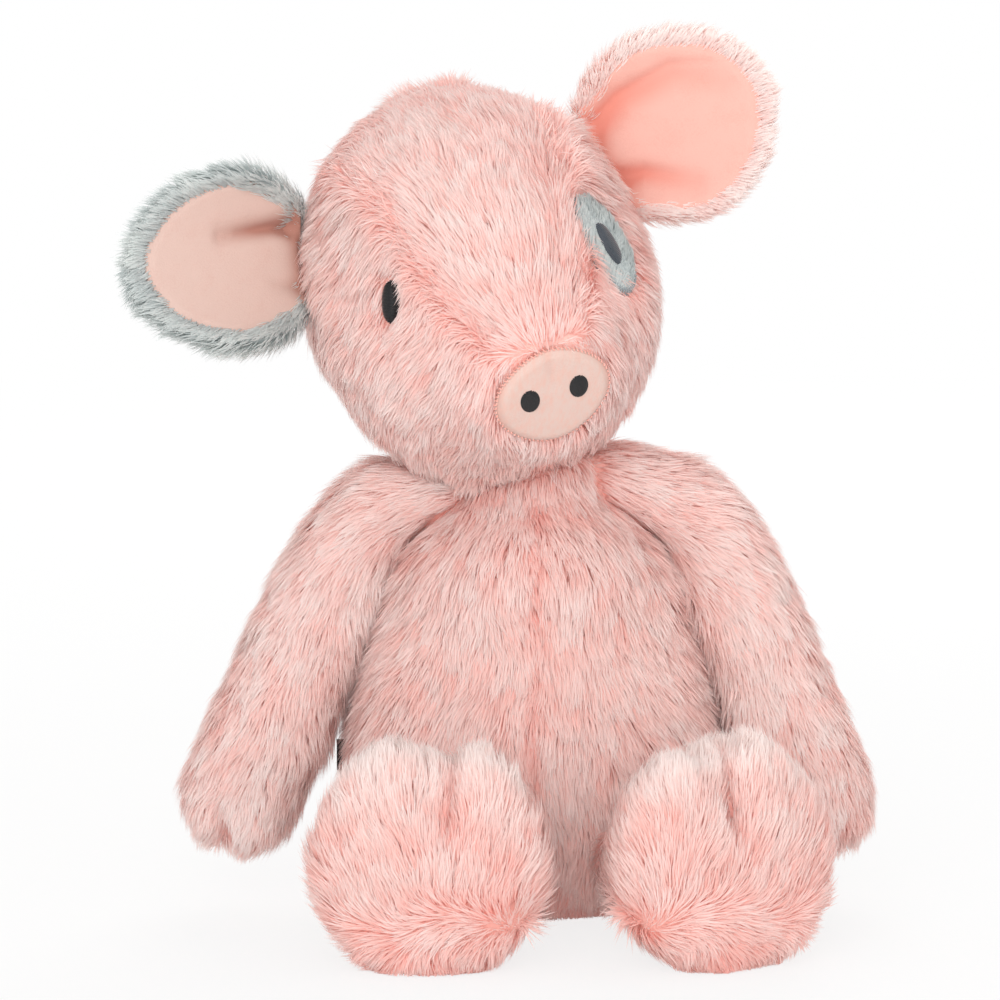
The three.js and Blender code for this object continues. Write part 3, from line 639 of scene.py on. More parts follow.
neck_flare = smooth_step(0.115, 0.15, spot[:, 2])[:, None]
outward = unit(spot * (1, 1, 0))
down_and_out = np.stack([7 * spot[:, 0], 2 * spot[:, 1], -np.ones(len(spot))], axis=1)
under = smooth_step(0.02, 0.0, spot[:, 2])
brush(
    torso_skin, "torso", down_and_out + neck_flare * outward * 1.2, lean=0.92 - 0.3 * beside_arm,
    long=np.minimum(
        0.0115 * (1 - 0.3 * belly_seam - 0.2 * side_seam) * (1 - 0.45 * under),
        0.002 + 1.5 * root_off.clip(0),
    ),
    thick=(1 - 0.45 * smooth_step(0.008, 0.0, spot[:, 2])) * smooth_step(0.0, 0.003, root_off),
    # painted shade: the pile is dyed deeper over the bottom (under), where shade falls by the floor; the seams are
    # dyed deeper lines
    shade=0.52 - 0.3 * belly_seam - 0.2 * side_seam - 0.25 * under - 0.3 * neck_seam,
)
dressed(torso_skin, "torso", "torso_cover", panels={
    "torso_front_left": (spot[:, 1] < 0) & (spot[:, 0] >= 0),
    "torso_front_right": (spot[:, 1] < 0) & (spot[:, 0] < 0),
    "torso_back_left": (spot[:, 1] >= 0) & (spot[:, 0] >= 0),
    "torso_back_right": (spot[:, 1] >= 0) & (spot[:, 0] < 0),
}, **pink_fur)


# Head
# Two cheek panels, a gusset from the snout to the crown and a back panel, stuffed firmly. It is sewn to the
# neck leaning to the pig's right. The pile runs back from the snout, and is clipped where it meets the eyes.
head_lean = -16
head_turn = 14
neck_point = np.array([0, 0, 0.146])
head_axes = np.array(
    Matrix.Rotation(math.radians(head_lean), 3, "Y") @ Matrix.Rotation(math.radians(head_turn), 3, "Z")
)
head_middle = neck_point + head_axes @ np.array([0, 0, 0.08])


def lie_of(node, upright=None):
    """Where a flat CAD piece of the face lies: its middle, and the ways sideways, upright and outward."""
    corners = np.array([v.co for v in frame["nodes"][node].data.vertices])
    middle = (corners.min(axis=0) + corners.max(axis=0)) / 2
    _, _, ways = np.linalg.svd(corners - corners.mean(axis=0), full_matrices=False)
    outward = ways[2] * np.sign(ways[2] @ (middle - head_middle))
    upright = ways[0] * np.sign(ways[0][2]) if upright is None else upright
    upright = unit(upright - outward * (upright @ outward))
    return middle, np.cross(upright, outward), upright, outward


snout_middle = lie_of("snout_disc", head_axes[:, 2])[0]


def clipped_at(skin, comb, nodes, margin=-0.0012):
    """How long each wisp may be so that it doesn't lie over the named pieces, and how far off they are."""
    pieces = surface_of(frame["nodes"][name].data for name in nodes)
    points, normal = points_of(skin.data), normals_of(skin.data)
    comb = unit(comb - (comb * normal).sum(axis=1, keepdims=True) * normal)
    room, off = np.full((2, len(points)), far_off)
    for index, point in enumerate(points):
        nearest = pieces.find_nearest(Vector(point), 0.02)
        if nearest[0] is None:
            continue
        gap = np.array(nearest[0]) - point
        level = gap - (gap @ normal[index]) * normal[index]
        off[index] = np.linalg.norm(level)
        towards = comb[index] @ unit(level)
        if towards > 0.15:
            room[index] = max(off[index] + margin, 0.0003) / (0.95 * towards)
    return room, off


head_skin = stuffed_skin("head_skin", "head_cover", grain=0.0035)
spot = points_of(head_skin.data)
within = (spot - neck_point) @ head_axes
from_snout = unit(spot - snout_middle)
snout_rise = (snout_middle - neck_point) @ head_axes
climb = np.clip((within[:, 2] - 0.056) / 0.073, 0, 1)
gusset_half = np.interp(within[:, 2], [0.056, 0.069, 0.081, 0.095, 0.110, 0.129],
                        [0.012, 0.019, 0.0235, 0.0264, 0.029, 0.035])
in_front = smooth_step(0.02, 0.0, within[:, 1])
gusset_seam = near_line(np.abs(within[:, 0]) - gusset_half, 0.0028) * in_front * (climb > 0.02)
chin_seam = near_line(within[:, 0], 0.002) * (within[:, 2] < snout_rise[2] - 0.012) * (within[:, 1] < -0.02)
to_seam = -np.sign(np.abs(within[:, 0]) - gusset_half) * np.sign(within[:, 0])
on_cheek = smooth_step(-0.001, 0.006, np.abs(within[:, 0]) - gusset_half * (climb > 0))[:, None]
on_nape = smooth_step(-0.025, 0.02, within[:, 1])[:, None]
downward = np.array([0, 0.2, -1.0])
comb = from_snout * (1 - 0.6 * on_cheek) + downward * on_cheek + np.array([0, 0, -0.15])
comb = comb * (1 - on_nape) + downward * on_nape
beside_seam = near_line(np.abs(within[:, 0]) - gusset_half, 0.006) * in_front
comb += (0.5 * beside_seam * to_seam)[:, None] * head_axes[:, 0]
face_pieces = ["eye_right", "eye_patch", "eye_patch_stitch", "snout_disc", "snout_stitch"]
room, off = clipped_at(head_skin, comb, face_pieces)
brush(
    head_skin, "head", comb,
    long=np.minimum(0.0105 * (1 - 0.25 * gusset_seam), room) * (0.7 + 0.3 * smooth_step(0.0, 0.006, off)),
    thick=smooth_step(0.0, 0.0008, off),
    shade=0.55 - 0.32 * gusset_seam - 0.35 * chin_seam,
)
behind = within[:, 1] >= 0.012
crown = ~behind & (np.abs(within[:, 0]) < gusset_half) & (climb > 0)
dressed(head_skin, "head", "head_cover", panels={
    "head_gusset": crown,
    "head_cheek_left": ~behind & ~crown & (within[:, 0] >= 0),
    "head_cheek_right": ~behind & ~crown & (within[:, 0] < 0),
    "head_back_left": behind & (within[:, 0] >= 0),
    "head_back_right": behind & (within[:, 0] < 0),
}, **pink_fur)
tangle = grown_pile("head_seam_tangle", head_skin, pink_pile, gusset_seam > 0.3, per_square_metre=1.5e6,
                    gather=0.9, ruffle=0.7, tousle=0.8)
fixed(tangle, "head")


# Arms
# Two loosely stuffed sleeves of the same fur, sewn on at the shoulders, that end in a trotter with two toes.
# A dart of thread pulls in the cleft. The pile runs out over the shoulder and down to the toes.
for side, word in ((1, "left"), (-1, "right")):
    roots = [(Vector((side * middle.x, middle.y, middle.z)), radius) for middle, radius in shoulder_roots]
    arm_skin = stuffed_skin(f"arm_{word}_skin", f"arm_cover_{word}", roots=roots)
    spot = points_of(arm_skin.data)
    down = smooth_step(0.15, 0.10, spot[:, 2])[:, None]
    comb = np.array([side * 0.9, -0.1, -0.25]) * (1 - down) + np.array([side * 0.3, -0.12, -1]) * down
    toes = smooth_step(0.05, 0.028, spot[:, 2])
    cleft_x = side * (0.1085 - 0.12 * (0.045 - spot[:, 2]))
    cleft = near_line(spot[:, 0] - cleft_x, 0.0032) * toes * (spot[:, 1] < -0.012)
    inner = smooth_step(0.2, 0.8, -side * normals_of(arm_skin.data)[:, 0])
    inner = inner * smooth_step(0.045, 0.06, spot[:, 2]) * smooth_step(0.13, 0.11, spot[:, 2])
    spot = spot + (0.002 * inner - 0.0035 * cleft)[:, None] * normals_of(arm_skin.data)
    move_points(arm_skin.data, spot)
    # painted shade: the pile is dyed deeper in the cleft, where the crease lies in shade
    brush(arm_skin, f"arm_{word}", comb, lean=0.92 - 0.2 * toes - 0.25 * inner,
          long=0.0108 * (1 - 0.45 * cleft), shade=0.64 - 0.5 * cleft + 0.04 * toes)
    on_body = side * spot[:, 0] < 0.064
    bends_from, bends_to = (side * 0.034, 0, 0.142), (side * 0.058, 0, 0.142)
    dressed(arm_skin, f"arm_{word}", f"arm_cover_{word}", **pink_fur,
            panels={f"arm_{word}": ~on_body, f"shoulder_{word}": on_body},
            sewn_into=("torso", bends_from, bends_to))


# Legs
# Two short stuffed legs with big upturned feet, sewn on at the hips. A gathered seam parts each foot into
# two toes. The pile parts on the sole, and stands up fluffy on top of the toes. Its colour is painted paler
# upwards and almost white on the toe tops, as highlight, and deeper at the bottom and in the cleft, as shade.
for side, word in ((1, "left"), (-1, "right")):
    leg_skin = stuffed_skin(f"leg_{word}_skin", f"leg_cover_{word}", tuck=-0.0004)
    spot, normal = points_of(leg_skin.data), normals_of(leg_skin.data)
    tops = smooth_step(0.35, 0.9, normal[:, 2]) * smooth_step(-0.062, -0.082, spot[:, 1])
    under = smooth_step(0.022, 0.004, spot[:, 2])
    cleft_x = 0.0635 + 0.1 * (0.06 - spot[:, 2]) if side > 0 else -0.0285 - 0.1 * (0.058 - spot[:, 2])
    cleft = near_line(spot[:, 0] - cleft_x, 0.0034) * smooth_step(0.034, 0.052, spot[:, 2])
    cleft = cleft * smooth_step(-0.085, -0.1, spot[:, 1])
    move_points(leg_skin.data, spot - 0.0048 * cleft[:, None] * normal)
    parting = smooth_step(0.002, 0.028, spot[:, 2] + 0.012 * drift_level(spot, 0.016, 8))[:, None]
    on_foot = smooth_step(-0.066, -0.082, spot[:, 1])[:, None]
    comb = np.array([0, 0.5, 1]) * parting + np.array([0, -0.1, -1]) * (1 - parting)
    comb[:, 0] += 0.24 * (spot[:, 0] - cleft_x) / 0.03
    comb += 4 * parting * (1 - parting) * (drift(spot, 0.009, 0.8, 9) + (side * 0.9, 0, -0.2))
    comb = comb * on_foot + np.array([0, -1, -0.35]) * (1 - on_foot)
    brush(
        leg_skin, f"leg_{word}", comb, lean=0.95 - 0.3 * tops,
        long=(0.011 - 0.004 * under) * (1 - 0.5 * cleft),
        thick=1 - 0.4 * smooth_step(0.004, 0.0015, spot[:, 2]),
        # painted light: paler on the toe tops (tops) and higher up the foot; painted shade: deeper at the bottom
        # (under) and in the cleft
        shade=0.48 + 0.3 * tops + 0.26 * smooth_step(0.04, 0.07, spot[:, 2]) - 0.2 * under - 0.5 * cleft,
        lit=np.array([0, -0.9, 0.3]) * smooth_step(0.05, 0.066, spot[:, 2])[:, None],
    )
    dressed(leg_skin, f"leg_{word}", f"leg_cover_{word}", panels={f"leg_{word}": 1.0}, **pink_fur)


# Ears
# Each ear is a cupped leaf of fur cloth, lined in front with velour, turned out and sewn into the head. The
# pile of the back sticks out round the edge as a fringe, painted paler towards its edge as rim light. The
# lining is creased where the root is pleated, and painted deeper in its creases and along its root as shade.
ear_long = 0.067
ear_outline = [
    (0, -0.5), (0.16, -0.78), (0.42, -1), (0.68, -0.92), (0.88, -0.6), (1, -0.08),
    (0.93, 0.48), (0.72, 0.86), (0.44, 1), (0.17, 0.8), (0, 0.5),
]
ear_centre = np.array([0.45, 0.0])
ear_raise = math.radians(13)
ear_sweep = math.radians(24)


def smooth_loop(corners, count):
    """Evenly numbered points on a smooth closed curve through the corners."""
    corners = np.array(corners, float)
    turn = np.arange(count) / count * len(corners)
    first = turn.astype(int)
    t = (turn - first)[:, None]
    a, b, c, d = (corners[(first + k) % len(corners)] for k in (-1, 0, 1, 2))
    bent = (2 * a - 5 * b + 4 * c - d) * t ** 2 + (3 * b - a - 3 * c + d) * t ** 3
    return 0.5 * (2 * b + (c - a) * t + bent)


def line_distance(points, route):
    """How far flat points are from a route of straight stretches, and how far along it they are nearest."""
    route = np.array(route, float)
    best, along = np.full(len(points), 1e9), np.zeros(len(points))
    for k, (start, end) in enumerate(zip(route[:-1], route[1:])):
        way = end - start
        t = np.clip((points - start) @ way / (way @ way), 0, 1)
        away = np.linalg.norm(points - start - t[:, None] * way, axis=1)
        along = np.where(away < best, (k + t) / (len(route) - 1), along)
        best = np.minimum(best, away)
    return best, along


def ring_sheet(name, place, rings, around, back):
    """A round sheet of quads with a back. Each is placed by (turn numbers, shares of the radius)."""
    turns = np.arange(around)
    middle = np.array([0])
    shares = np.linspace(0, 1, rings + 1)[1:]
    corners = [place(middle, np.zeros(1))] + [place(turns, np.full(around, r)) for r in shares]
    corners += [back(turns, np.full(around, r)) for r in shares[:-1]][::-1] + [back(middle, np.zeros(1))]
    beside = (turns + 1) % around
    bands = 2 * (rings - 1)
    faces = [(0, 1 + k, 1 + j) for k, j in zip(turns, beside)]
    for band in range(bands):
        low, high = 1 + band * around, 1 + (band + 1) * around
        faces += [(low + k, high + k, high + j, low + j) for k, j in zip(turns, beside)]
    low, last = 1 + bands * around, 1 + (bands + 1) * around
    faces += [(low + k, last, low + j) for k, j in zip(turns, beside)]
    return round_shaded(built(name, np.concatenate(corners).tolist(), [], faces))


def overlaid(finish, weight, colour):
    """Lays another colour over a cloth's own, as far as the weight says."""
    body = finish.node_tree.nodes["Principled BSDF"]
    deeper = add_node(finish.node_tree, "ShaderNodeMix", data_type="RGBA")
    for socket, source in (("A", body.inputs["Base Color"].links[0].from_socket), ("Factor", weight)):
        finish.node_tree.links.new(source, deeper.inputs[socket])
    deeper.inputs["B"].default_value = as_written(*colour)
    finish.node_tree.links.new(deeper.outputs["Result"], body.inputs["Base Color"])
    return finish


def velour_finish(name, colour, fold_shade_colour):
    """Short brushed velour: a fine nap with a soft sheen, and painted shade in the fold colour where the vertices
    say fold.
    """
    worn = [part * share for part, share in zip(colour, (0.987, 0.966, 0.962))]
    finish = cloth_finish(name, colour, worn, stitch_size=0.0006, roughness=0.85, sheen=0.35,
                          rough_cloth=0.35)
    fold = add_node(finish.node_tree, "ShaderNodeAttribute", attribute_name="fold").outputs["Fac"]
    return overlaid(finish, fold, fold_shade_colour)


grey_pile = fur_finish("grey_pile", [
    (0.15, (168, 176, 178)), (0.42, (206, 213, 213)), (0.68, (224, 229, 228)), (0.95, (240, 243, 241)),
])
grey_ground = cloth_finish("grey_fur_ground", (208, 214, 214), (188, 195, 196))
grey_fur = dict(finish=grey_pile, ground=grey_ground, slot="grey_fur")
# each velour's second colour is painted shade, laid on where it lies in a fold
peach_velour = velour_finish("peach_velour", (238, 184, 171), (232, 143, 126))
beige_velour = velour_finish("beige_velour", (216, 186, 175), (176, 118, 102))

# Creases are routes on the ear, as shares of its length and half width, with a depth and a width in metres
ears = {
    "left": dict(
        half_width=0.033, cup=0.006, margin=0.0026, fringe=0.007, tone=0.86, fur=pink_fur,
        velour=peach_velour,
        creases=[
            ([(0, 0.62), (0.04, 0.44), (0.12, 0.44), (0.3, 0.58), (0.62, 0.6), (0.86, 0.36)],
             0.0018, 0.0015),
            ([(0.04, -0.2), (0.22, -0.3), (0.45, -0.62)], 0.0055, 0.004),
            ([(0.02, 0.3), (0.3, 0.5), (0.6, 0.48), (0.8, 0.16)], 0.0042, 0.0055),
        ],
    ),
    "right": dict(
        half_width=0.030, cup=0.011, margin=0.0034, fringe=0.009, tone=0.55, fur=grey_fur,
        velour=beige_velour,
        creases=[
            ([(0, -0.36), (0.2, -0.37), (0.42, -0.33)], 0.0016, 0.0015),
            ([(0.02, -0.34), (0.2, -0.36), (0.52, -0.3)], 0.0062, 0.0034),
            ([(0.03, 0.4), (0.22, 0.3)], 0.002, 0.003),
        ],
    ),
}


def on_ear(ear, around, margin, lift, turn, share):
    """A point of an ear's sheet, so many turn numbers round its edge and a share of the way out to it.

    The last column is how deep it lies in a fold, with a line along the root added: it sets the lining's painted
    shade.
    """
    size = np.array([ear_long, ear["half_width"]])
    edge = smooth_loop(ear_outline, around)[turn] * (size - (2 * margin, margin)) + (margin, 0)
    middle = ear_centre * size
    flat = middle + (edge - middle) * share[:, None]
    along, across = (flat / size).T
    cup = ear["cup"] * (across ** 2 * (1.6 - 0.9 * along) - 0.6 * along ** 2)
    folds = np.zeros(len(flat))
    for route, depth, width in ear["creases"]:
        away, part = line_distance(flat, np.array(route) * size)
        folds += depth * near_line(away, width) * (1 - 0.75 * part) * smooth_step(1.0, 0.82, share)
    place = ear["root"] + np.column_stack([flat, cup - folds + lift(share)]) @ ear["axes"].T
    # painted shade: a deeper line along the root, where the lining meets the head, is added to the fold column
    return np.column_stack([place, folds + 0.0032 * near_line(flat[:, 0] - 0.004, 0.005)])


def ear_sheet(name, ear, rings, around, margin, front, back):
    """A sheet of an ear with a front and a back lift over its middle surface, and its folds in front."""
    def face(lift, turn, share):
        return on_ear(ear, around, margin, lift, turn, share)[:, :3]

    sheet = ring_sheet(name, partial(face, front), rings, around, partial(face, back))
    shares = np.linspace(0, 1, rings + 1)[1:]
    numbers = [0.0] + [r for r in shares for _ in range(around)]
    turns = [0] + list(range(around)) * rings
    folds = on_ear(ear, around, margin, front, np.array(turns), np.array(numbers))[:, 3]
    numbers += [r for r in shares[:-1][::-1] for _ in range(around)] + [0.0]
    return sheet, folds, np.array(numbers)


velour_thick = 0.0012
velour_off = 0.0020
back_half_thick = 0.0012
for side, word in ((1, "left"), (-1, "right")):
    ear = ears[word]
    joint = next(j for j in frame["joints"] if j["name"] == f"ear_{word}_fold")
    root = np.array(joint["pos_m"])
    sweep = Matrix.Rotation(-side * ear_sweep, 3, "Z")
    out_way = np.array(sweep @ Vector((side * math.cos(ear_raise), 0, math.sin(ear_raise))))
    front_way = np.array(sweep @ Vector((0, -1, 0)))
    ear_axes = head_axes @ np.stack([out_way, np.cross(front_way, out_way), front_way], axis=1)
    ear.update(root=root, axes=ear_axes)

    lining, folds, _ = ear_sheet(
        f"ear_lining_{word}_velour", ear, rings=40, around=150, margin=ear["margin"],
        front=lambda r: velour_off + velour_thick * (1 - smooth_step(0.88, 1.0, r)),
        back=lambda r: velour_off - 0.0002 * smooth_step(0.88, 1.0, r),
    )
    folds = np.pad(folds, (0, len(lining.data.vertices) - len(folds)))
    # painted shade: the lining takes the deeper fold colour in its creases and along its root
    write_rows(lining.data, "fold", np.clip(folds / 0.0035, 0, 1) ** 1.3 * 0.85)
    lining.data.materials.append(ear["velour"])
    fixed(lining, f"ear_{word}", f"ear_lining_{word}")

    back, _, at_edge = ear_sheet(
        f"ear_{word}_skin", ear, rings=24, around=120, margin=0.001,
        front=lambda r: back_half_thick * np.sqrt(1 - r ** 6),
        back=lambda r: -back_half_thick * np.sqrt(1 - r ** 6),
    )
    flat = (points_of(back.data) - root) @ ear_axes
    comb = unit(flat[:, :2] - (-0.012, 0)) @ ear_axes[:, :2].T
    covered = (normals_of(back.data) @ ear_axes[:, 2] > 0.2) & (at_edge < 0.86)
    root_end = smooth_step(0.002, 0.009, flat[:, 0])
    brush(back, f"ear_{word}", comb, lean=0.95 - 0.45 * smooth_step(0.85, 1.0, at_edge),
          long=ear["fringe"] * (0.45 + 0.55 * root_end), thick=np.where(covered, 0.0, 1.0),
          # painted rim light: the fringe is dyed paler towards the edge, as light coming through it; the pink
          # ear's high tone is the same painted light
          shade=ear["tone"] + 0.1 * smooth_step(0.7, 1.0, at_edge),
          lit=1.6 * smooth_step(0.6, 0.95, at_edge)[:, None] * ear_axes[:, 2])
    dressed(back, f"ear_{word}", f"ear_back_{word}", panels={f"ear_{word}": 1.0}, **ear["fur"],
            per_square_metre=3.4e6)


# Snout
# A disc of short velour on the flat end of the muzzle, sewn down all round with salmon thread through its
# turned edge. Its nap is brushed upright, and it dimples a little above the nostrils.
snout_middle, snout_across, snout_up, snout_out = lie_of("snout_disc", head_axes[:, 2])
snout_base = snout_middle - snout_out * 0.0015
snout_half = np.array([0.0196, 0.0188])
snout_lift = 0.0032


def on_snout(flat, height):
    """A flat point of the snout at a height over the muzzle."""
    return snout_base + flat[:, :1] * snout_across + flat[:, 1:] * snout_up + height[:, None] * snout_out


snout_around = 96


def snout_place(turn, share, under=False):
    """A point of the disc. Its sides bow out a little less above than below."""
    angle = turn / snout_around * math.tau
    squarer = 1 + 0.035 * np.cos(2 * angle) - 0.03 * np.sin(angle) + 0.02 * np.cos(4 * angle)
    flat = np.stack([np.cos(angle), np.sin(angle)], axis=1) * snout_half * (squarer * share)[:, None]
    if under:
        return on_snout(flat, np.full(len(flat), 0.0001))
    dome = snout_lift * (1 - 0.28 * share ** 2 - 0.55 * smooth_step(0.86, 1.0, share))
    dent = 0.0005 * near_line(flat[:, 0], 0.0022) * smooth_step(0.001, 0.010, flat[:, 1])
    pucker = 0.00012 * np.cos(angle * 48) * smooth_step(0.8, 0.95, share)
    return on_snout(flat, dome - dent + pucker)


snout = ring_sheet("snout_velour", snout_place, 20, snout_around, partial(snout_place, under=True))
# its second colour is painted shade, for the turned edge and the dimple
snout_velour = velour_finish("snout_velour", (221, 194, 184), (211, 156, 142))
where = add_node(snout_velour.node_tree, "ShaderNodeTexCoord").outputs["Object"]
stretch = add_node(snout_velour.node_tree, "ShaderNodeMapping", {"Vector": where, "Scale": (700, 700, 90)})
streaks = add_node(snout_velour.node_tree, "ShaderNodeTexNoise", {
    "Vector": stretch.outputs["Vector"], "Scale": 1, "Detail": 3,
})
weight = add_node(snout_velour.node_tree, "ShaderNodeMapRange", {
    "Value": streaks.outputs["Fac"], "From Min": 0.4, "From Max": 0.7, "To Max": 0.7,
})
overlaid(snout_velour, weight.outputs["Result"], (226, 182, 168))
snout_spot = (points_of(snout.data) - snout_base) @ np.stack([snout_across, snout_up, snout_out], axis=1)
edge_near = np.linalg.norm(snout_spot[:, :2] / snout_half, axis=1)
# painted shade: the fold colour deepens the disc towards its turned edge and along the dimple above the nostrils
write_rows(snout.data, "fold", 0.5 * smooth_step(0.9, 1.0, edge_near)
           + 0.25 * near_line(snout_spot[:, 0], 0.0015) * smooth_step(0.002, 0.01, snout_spot[:, 1]))
snout.data.materials.append(snout_velour)
fixed(snout, "head", "snout_disc")


def thread_tree():
    """Nodes that turn strings of edges into round threads."""
    tree, given, made = new_group("threads", {
        "Strings": "Geometry", "Thread radius": "Float", "Finish": "Material",
    }, "Threads")
    add = partial(add_node, tree)
    lines = add("GeometryNodeMeshToCurve", {"Mesh": given["Strings"]}).outputs["Curve"]
    section = add("GeometryNodeCurvePrimitiveCircle", {"Resolution": 6, "Radius": given["Thread radius"]})
    tube = add("GeometryNodeCurveToMesh", {
        "Curve": lines, "Profile Curve": section.outputs["Curve"], "Fill Caps": True,
    }).outputs["Mesh"]
    real = add("GeometryNodeRealizeInstances", {"Geometry": tube}).outputs["Geometry"]
    painted = add("GeometryNodeSetMaterial", {"Geometry": real, "Material": given["Finish"]})
    tree.links.new(painted.outputs["Geometry"], made.inputs["Threads"])
    return tree


thread_nodes = thread_tree()


def threads(name, strings, radius, finish):
    """Round threads along strings of points, as one plain mesh."""
    corners, edges = [], []
    for string in strings:
        edges += [(len(corners) + k, len(corners) + k + 1) for k in range(len(string) - 1)]
        corners += [tuple(point) for point in string]
    sewn = worked(built(name, corners, edges, []), thread_nodes, {"Thread radius": radius, "Finish": finish})
    return round_shaded(sewn)


def thread_finish(name, colour, dark):
    """Glossy embroidery thread, its colour broken by the twist of its plies."""
    return cloth_finish(name, colour, dark, stitch_size=0.00035, roughness=0.42, sheen=0.15, rough_cloth=0.5,
                        shine=0.45)


stitch_radius = 0.0003


def edge_stitches(node, place, around, count, long, shares, drops, outward, finish):
    """Stitches over the edge of a round sheet on the face, as (start, crest, end) with a drop at each.

    Each takes up a long share of its turn, and goes from one share of the radius to another.
    """
    stitches = []
    for number in range(count):
        at = np.array([number / count * around, (number + long) / count * around])
        start, end = place(at, np.array(shares))
        row = (start, (start + end) / 2, end)
        stitches.append([point - outward * drop for point, drop in zip(row, drops)])
    sewn = threads(node.replace("stitch", "edge_stitches"), stitches, stitch_radius, finish)
    fixed(sewn, "head", node)


salmon_thread = thread_finish("salmon_thread", (246, 184, 170), (240, 166, 151))
edge_stitches("snout_stitch", snout_place, around=snout_around, count=76, long=0.62, shares=(0.975, 1.0),
              drops=(0.0003, -0.0005, 0.0006), outward=snout_out, finish=salmon_thread)


# Nostrils and eyes
# Satin stitch: black thread laid side by side over an oval pad, so that it stands up and shines in a band.
# The right eye is sewn straight through the pink fur. The left one is charcoal, and sits on the grey patch.
black_thread = thread_finish("black_thread", (20, 19, 22), (7, 7, 9))
charcoal_thread = thread_finish("charcoal_thread", (78, 84, 92), (50, 55, 62))


pad_around = 40


def satin_oval(node, ground, lie, half_width, half_height, height, count, finish):
    """An oval of satin stitch on a surface, and the pad under it."""
    middle, across, upright, outward = lie

    def laid(a, b, lift):
        place = middle + a * across + b * upright
        hit = ground.ray_cast(Vector(place + outward * 0.03), Vector(-outward))[0]
        return (np.array(hit) if hit is not None else place) + outward * lift

    strings = []
    for number in range(count):
        b = (2 * (number + 0.5) / count - 1) * half_height
        chord = half_width * math.sqrt(max(1 - (b / half_height) ** 2, 0.02))
        bulge = height * math.sqrt(max(1 - (b / half_height) ** 4, 0.05))
        shares = np.linspace(-1, 1, 7)
        strings.append([laid(chord * s, b, bulge * (1 - 0.75 * s ** 4) - 0.0003) for s in shares])
    sewn = threads(f"{node}_satin", strings, half_height / count * 1.12, finish)

    def pad_place(turn, share, under=False):
        angle = turn / pad_around * math.tau
        a, b = np.cos(angle) * half_width * share, np.sin(angle) * half_height * share
        lifts = np.full(len(a), -0.0008) if under else height * (1 - 0.75 * share ** 4) - 0.00035
        return np.array([laid(x, y, lift) for x, y, lift in zip(a, b, lifts)])

    pad = ring_sheet(f"{node}_satin_pad", pad_place, 5, pad_around, partial(pad_place, under=True))
    pad.data.materials.append(finish)
    fixed(sewn, "head", node)
    fixed(pad, "head")


snout_ground = surface_of([snout.data])
for word in ("left", "right"):
    nostril_middle = lie_of(f"nostril_{word}", head_axes[:, 2])[0]
    lie = (nostril_middle, snout_across, snout_up, snout_out)
    satin_oval(f"nostril_{word}", snout_ground, lie, half_width=0.0033, half_height=0.0043, height=0.0009,
               count=19, finish=black_thread)

head_ground = surface_of([head_skin.data])
satin_oval("eye_right", head_ground, lie_of("eye_right"), half_width=0.0035, half_height=0.0074,
           height=0.0034, count=30, finish=black_thread)


# Eye patch
# An oval of grey fur cloth with a short clipped pile, sewn on round its edge with slate thread. Its lower
# tip is almost bare, and the charcoal eye is embroidered through its middle.
patch_half = np.array([0.0130, 0.0178])
patch_middle, patch_across, patch_up, patch_out = lie_of("eye_patch")


patch_around = 72


def patch_place(turn, share, under=False):
    """A point of the patch, which follows the head a little above the skin."""
    angle = turn / patch_around * math.tau
    flat = np.stack([np.cos(angle), np.sin(angle)], axis=1) * patch_half * share[:, None]
    rows = []
    for (a, b), s in zip(flat, share):
        place = patch_middle + a * patch_across + b * patch_up
        hit = head_ground.ray_cast(Vector(place + patch_out * 0.03), Vector(-patch_out))[0]
        place = np.array(hit) if hit is not None else place
        lift = -0.0008 if under else 0.0024 * (1 - 0.6 * s ** 6)
        rows.append(place + patch_out * lift)
    return np.array(rows)


patch = ring_sheet("eye_patch_skin", patch_place, 12, patch_around, partial(patch_place, under=True))
spot = points_of(patch.data)
patch_plane = np.stack([patch_across, patch_up], axis=1)
patch_share = np.linalg.norm((spot - patch_middle) @ patch_plane / patch_half, axis=1)
eye_middle = lie_of("eye_left")[0] - 0.0015 * patch_across
eye_off = np.linalg.norm((spot - eye_middle) @ patch_plane / (0.0048, 0.0088), axis=1)
bare = (normals_of(patch.data) @ patch_out < 0.1) | (eye_off < 1.0)
low_tip = smooth_step(-0.008, -0.014, (spot - patch_middle) @ patch_up)
comb = unit(spot - snout_middle) + 0.5 * patch_up
brush(
    patch, "head", comb, lean=0.9,
    long=np.minimum(0.0036, 0.0006 + 0.0034 * (eye_off - 1).clip(0)) * (1 - 0.5 * low_tip),
    thick=np.where(bare, 0.0, 1.0) * (1 - 0.6 * low_tip) * smooth_step(1.02, 0.9, patch_share),
    shade=0.56,
    lit=-0.4 * head_axes[:, 1],
)
dressed(patch, "head", "eye_patch", panels={"eye_patch": 1.0}, **grey_fur,
        per_square_metre=5e6, width=0.0004, spacing=0.003)

slate_thread = thread_finish("slate_thread", (160, 170, 174), (128, 138, 143))
edge_stitches("eye_patch_stitch", patch_place, around=patch_around, count=60, long=0.55, shares=(0.9, 1.07),
              drops=(0.0002, -0.0008, 0.0004), outward=patch_out, finish=slate_thread)

patch_ground = surface_of([patch.data])
satin_oval("eye_left", patch_ground, (eye_middle, patch_across, patch_up, patch_out), half_width=0.0041,
           half_height=0.0078, height=0.0020, count=30, finish=charcoal_thread)


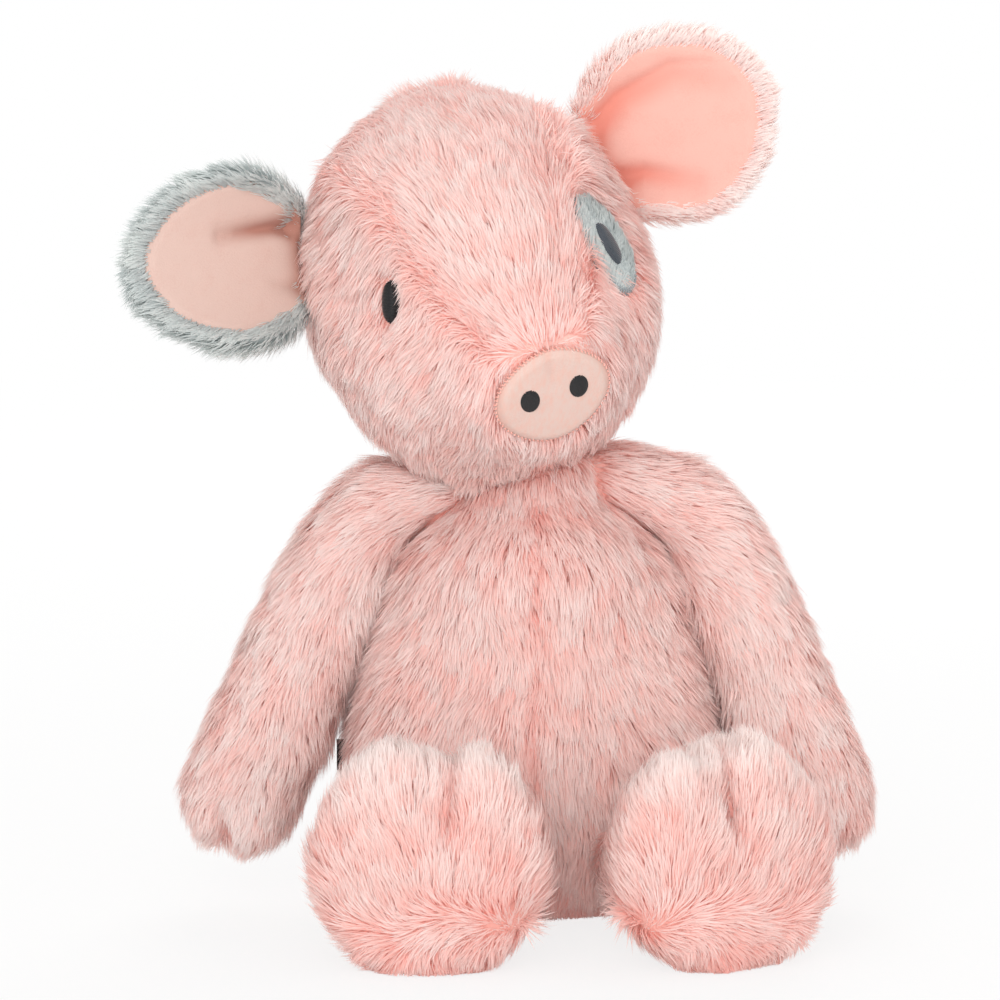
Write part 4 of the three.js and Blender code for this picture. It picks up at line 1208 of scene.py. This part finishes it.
# Tail
# A narrow tube of the pink fur, lightly stuffed and gathered on one side so that it curls, with its root
# caught in the back seam. Its pile is clipped to about half length and runs along the curl.
tail_skin = stuffed_skin("tail_skin", "tail", tuck=0.0006, swell=2, slack=0.001, grain=0.0014)
spot = points_of(tail_skin.data)
tail_low, tail_high = (np.array(corner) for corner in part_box("tail"))
curl_middle = np.array([0, (tail_low[1] + tail_high[1]) / 2 + 0.002, (tail_low[2] + tail_high[2]) / 2])
comb = np.cross(np.array([1.0, 0, 0]), spot - curl_middle) + np.array([0.004, 0, 0])
brush(tail_skin, "tail", comb, lean=1.0, long=0.0052, shade=0.5)
dressed(tail_skin, "tail", "tail", panels={"tail": 1.0}, **pink_fur,
        per_square_metre=4.5e6, width=0.0003, spacing=0.0028)


# Side tab
# A plain loop of black woven ribbon, folded once and caught by both ends in the right side seam.
tab_low, tab_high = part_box("side_tab")
ribbon_thick = 0.0004
loop_half = (tab_high.y - tab_low.y) / 2 - ribbon_thick / 2
tab_end = tab_low.x + 0.0003
fold_x = tab_end + ribbon_thick / 2 + loop_half
route = [(tab_high.x + 0.002 - 0.001 * k, 0.85 * loop_half) for k in range(7)]
route = [(x, y) for x, y in route if x > fold_x]
bend_steps = 8
for step in range(bend_steps + 1):
    turn = math.radians(90 + 180 * step / bend_steps)
    route.append((fold_x + loop_half * math.cos(turn), loop_half * math.sin(turn)))
route += [(x, -y) for x, y in route[::-1] if x > fold_x + 1e-6]
bands = 14
rows = []
for x, y in route:
    for band in range(bands + 1):
        share = band / bands
        ribs = 0.00006 * (band % 2)
        rows.append((x, y * (1 + ribs), tab_low.z + share * (tab_high.z - tab_low.z)))
wide = bands + 1
side_tab = built("side_tab_ribbon", rows, [], [
    (k, k + 1, k + wide + 1, k + wide)
    for row in range(len(route) - 1) for k in range(row * wide, row * wide + bands)
])
changed(side_tab, "SOLIDIFY", thickness=ribbon_thick, offset=0)
round_shaded(settled(side_tab))
black_ribbon = cloth_finish("black_ribbon", (30, 30, 34), (14, 14, 16), stitch_size=0.0004,
                            roughness=0.55, sheen=0.2, rough_cloth=0.4)
weave = black_ribbon.node_tree
where = add_node(weave, "ShaderNodeTexCoord").outputs["Object"]
ribs = add_node(weave, "ShaderNodeTexWave", {"Vector": where, "Scale": 420}, bands_direction="Z")
bump = next(node for node in weave.nodes if node.type == "BUMP")
weave.links.new(ribs.outputs["Fac"], bump.inputs["Height"])
side_tab.data.materials.append(black_ribbon)
fixed(side_tab, "torso", "side_tab")


# Filling
# Loose polyester fibre in every form, and a small canvas bag of beans in the seat that keeps the pig
# upright. The covers hide both, so the CAD solids stay, in the finish of fluffed fibre and plain canvas.
fibre_fill = cloth_finish("fibre_fill", (246, 244, 240), (222, 219, 213), stitch_size=0.0015,
                          roughness=1.0, sheen=0.4, rough_cloth=0.8)
pouch_canvas = cloth_finish("pouch_canvas", (231, 224, 211), (205, 196, 180), stitch_size=0.0007,
                            roughness=0.9, sheen=0.1, rough_cloth=0.7)
for name, node in frame["nodes"].items():
    if "stuffing" in name or name == "bean_pouch":
        node.data.materials.clear()
        node.data.materials.append(pouch_canvas if name == "bean_pouch" else fibre_fill)
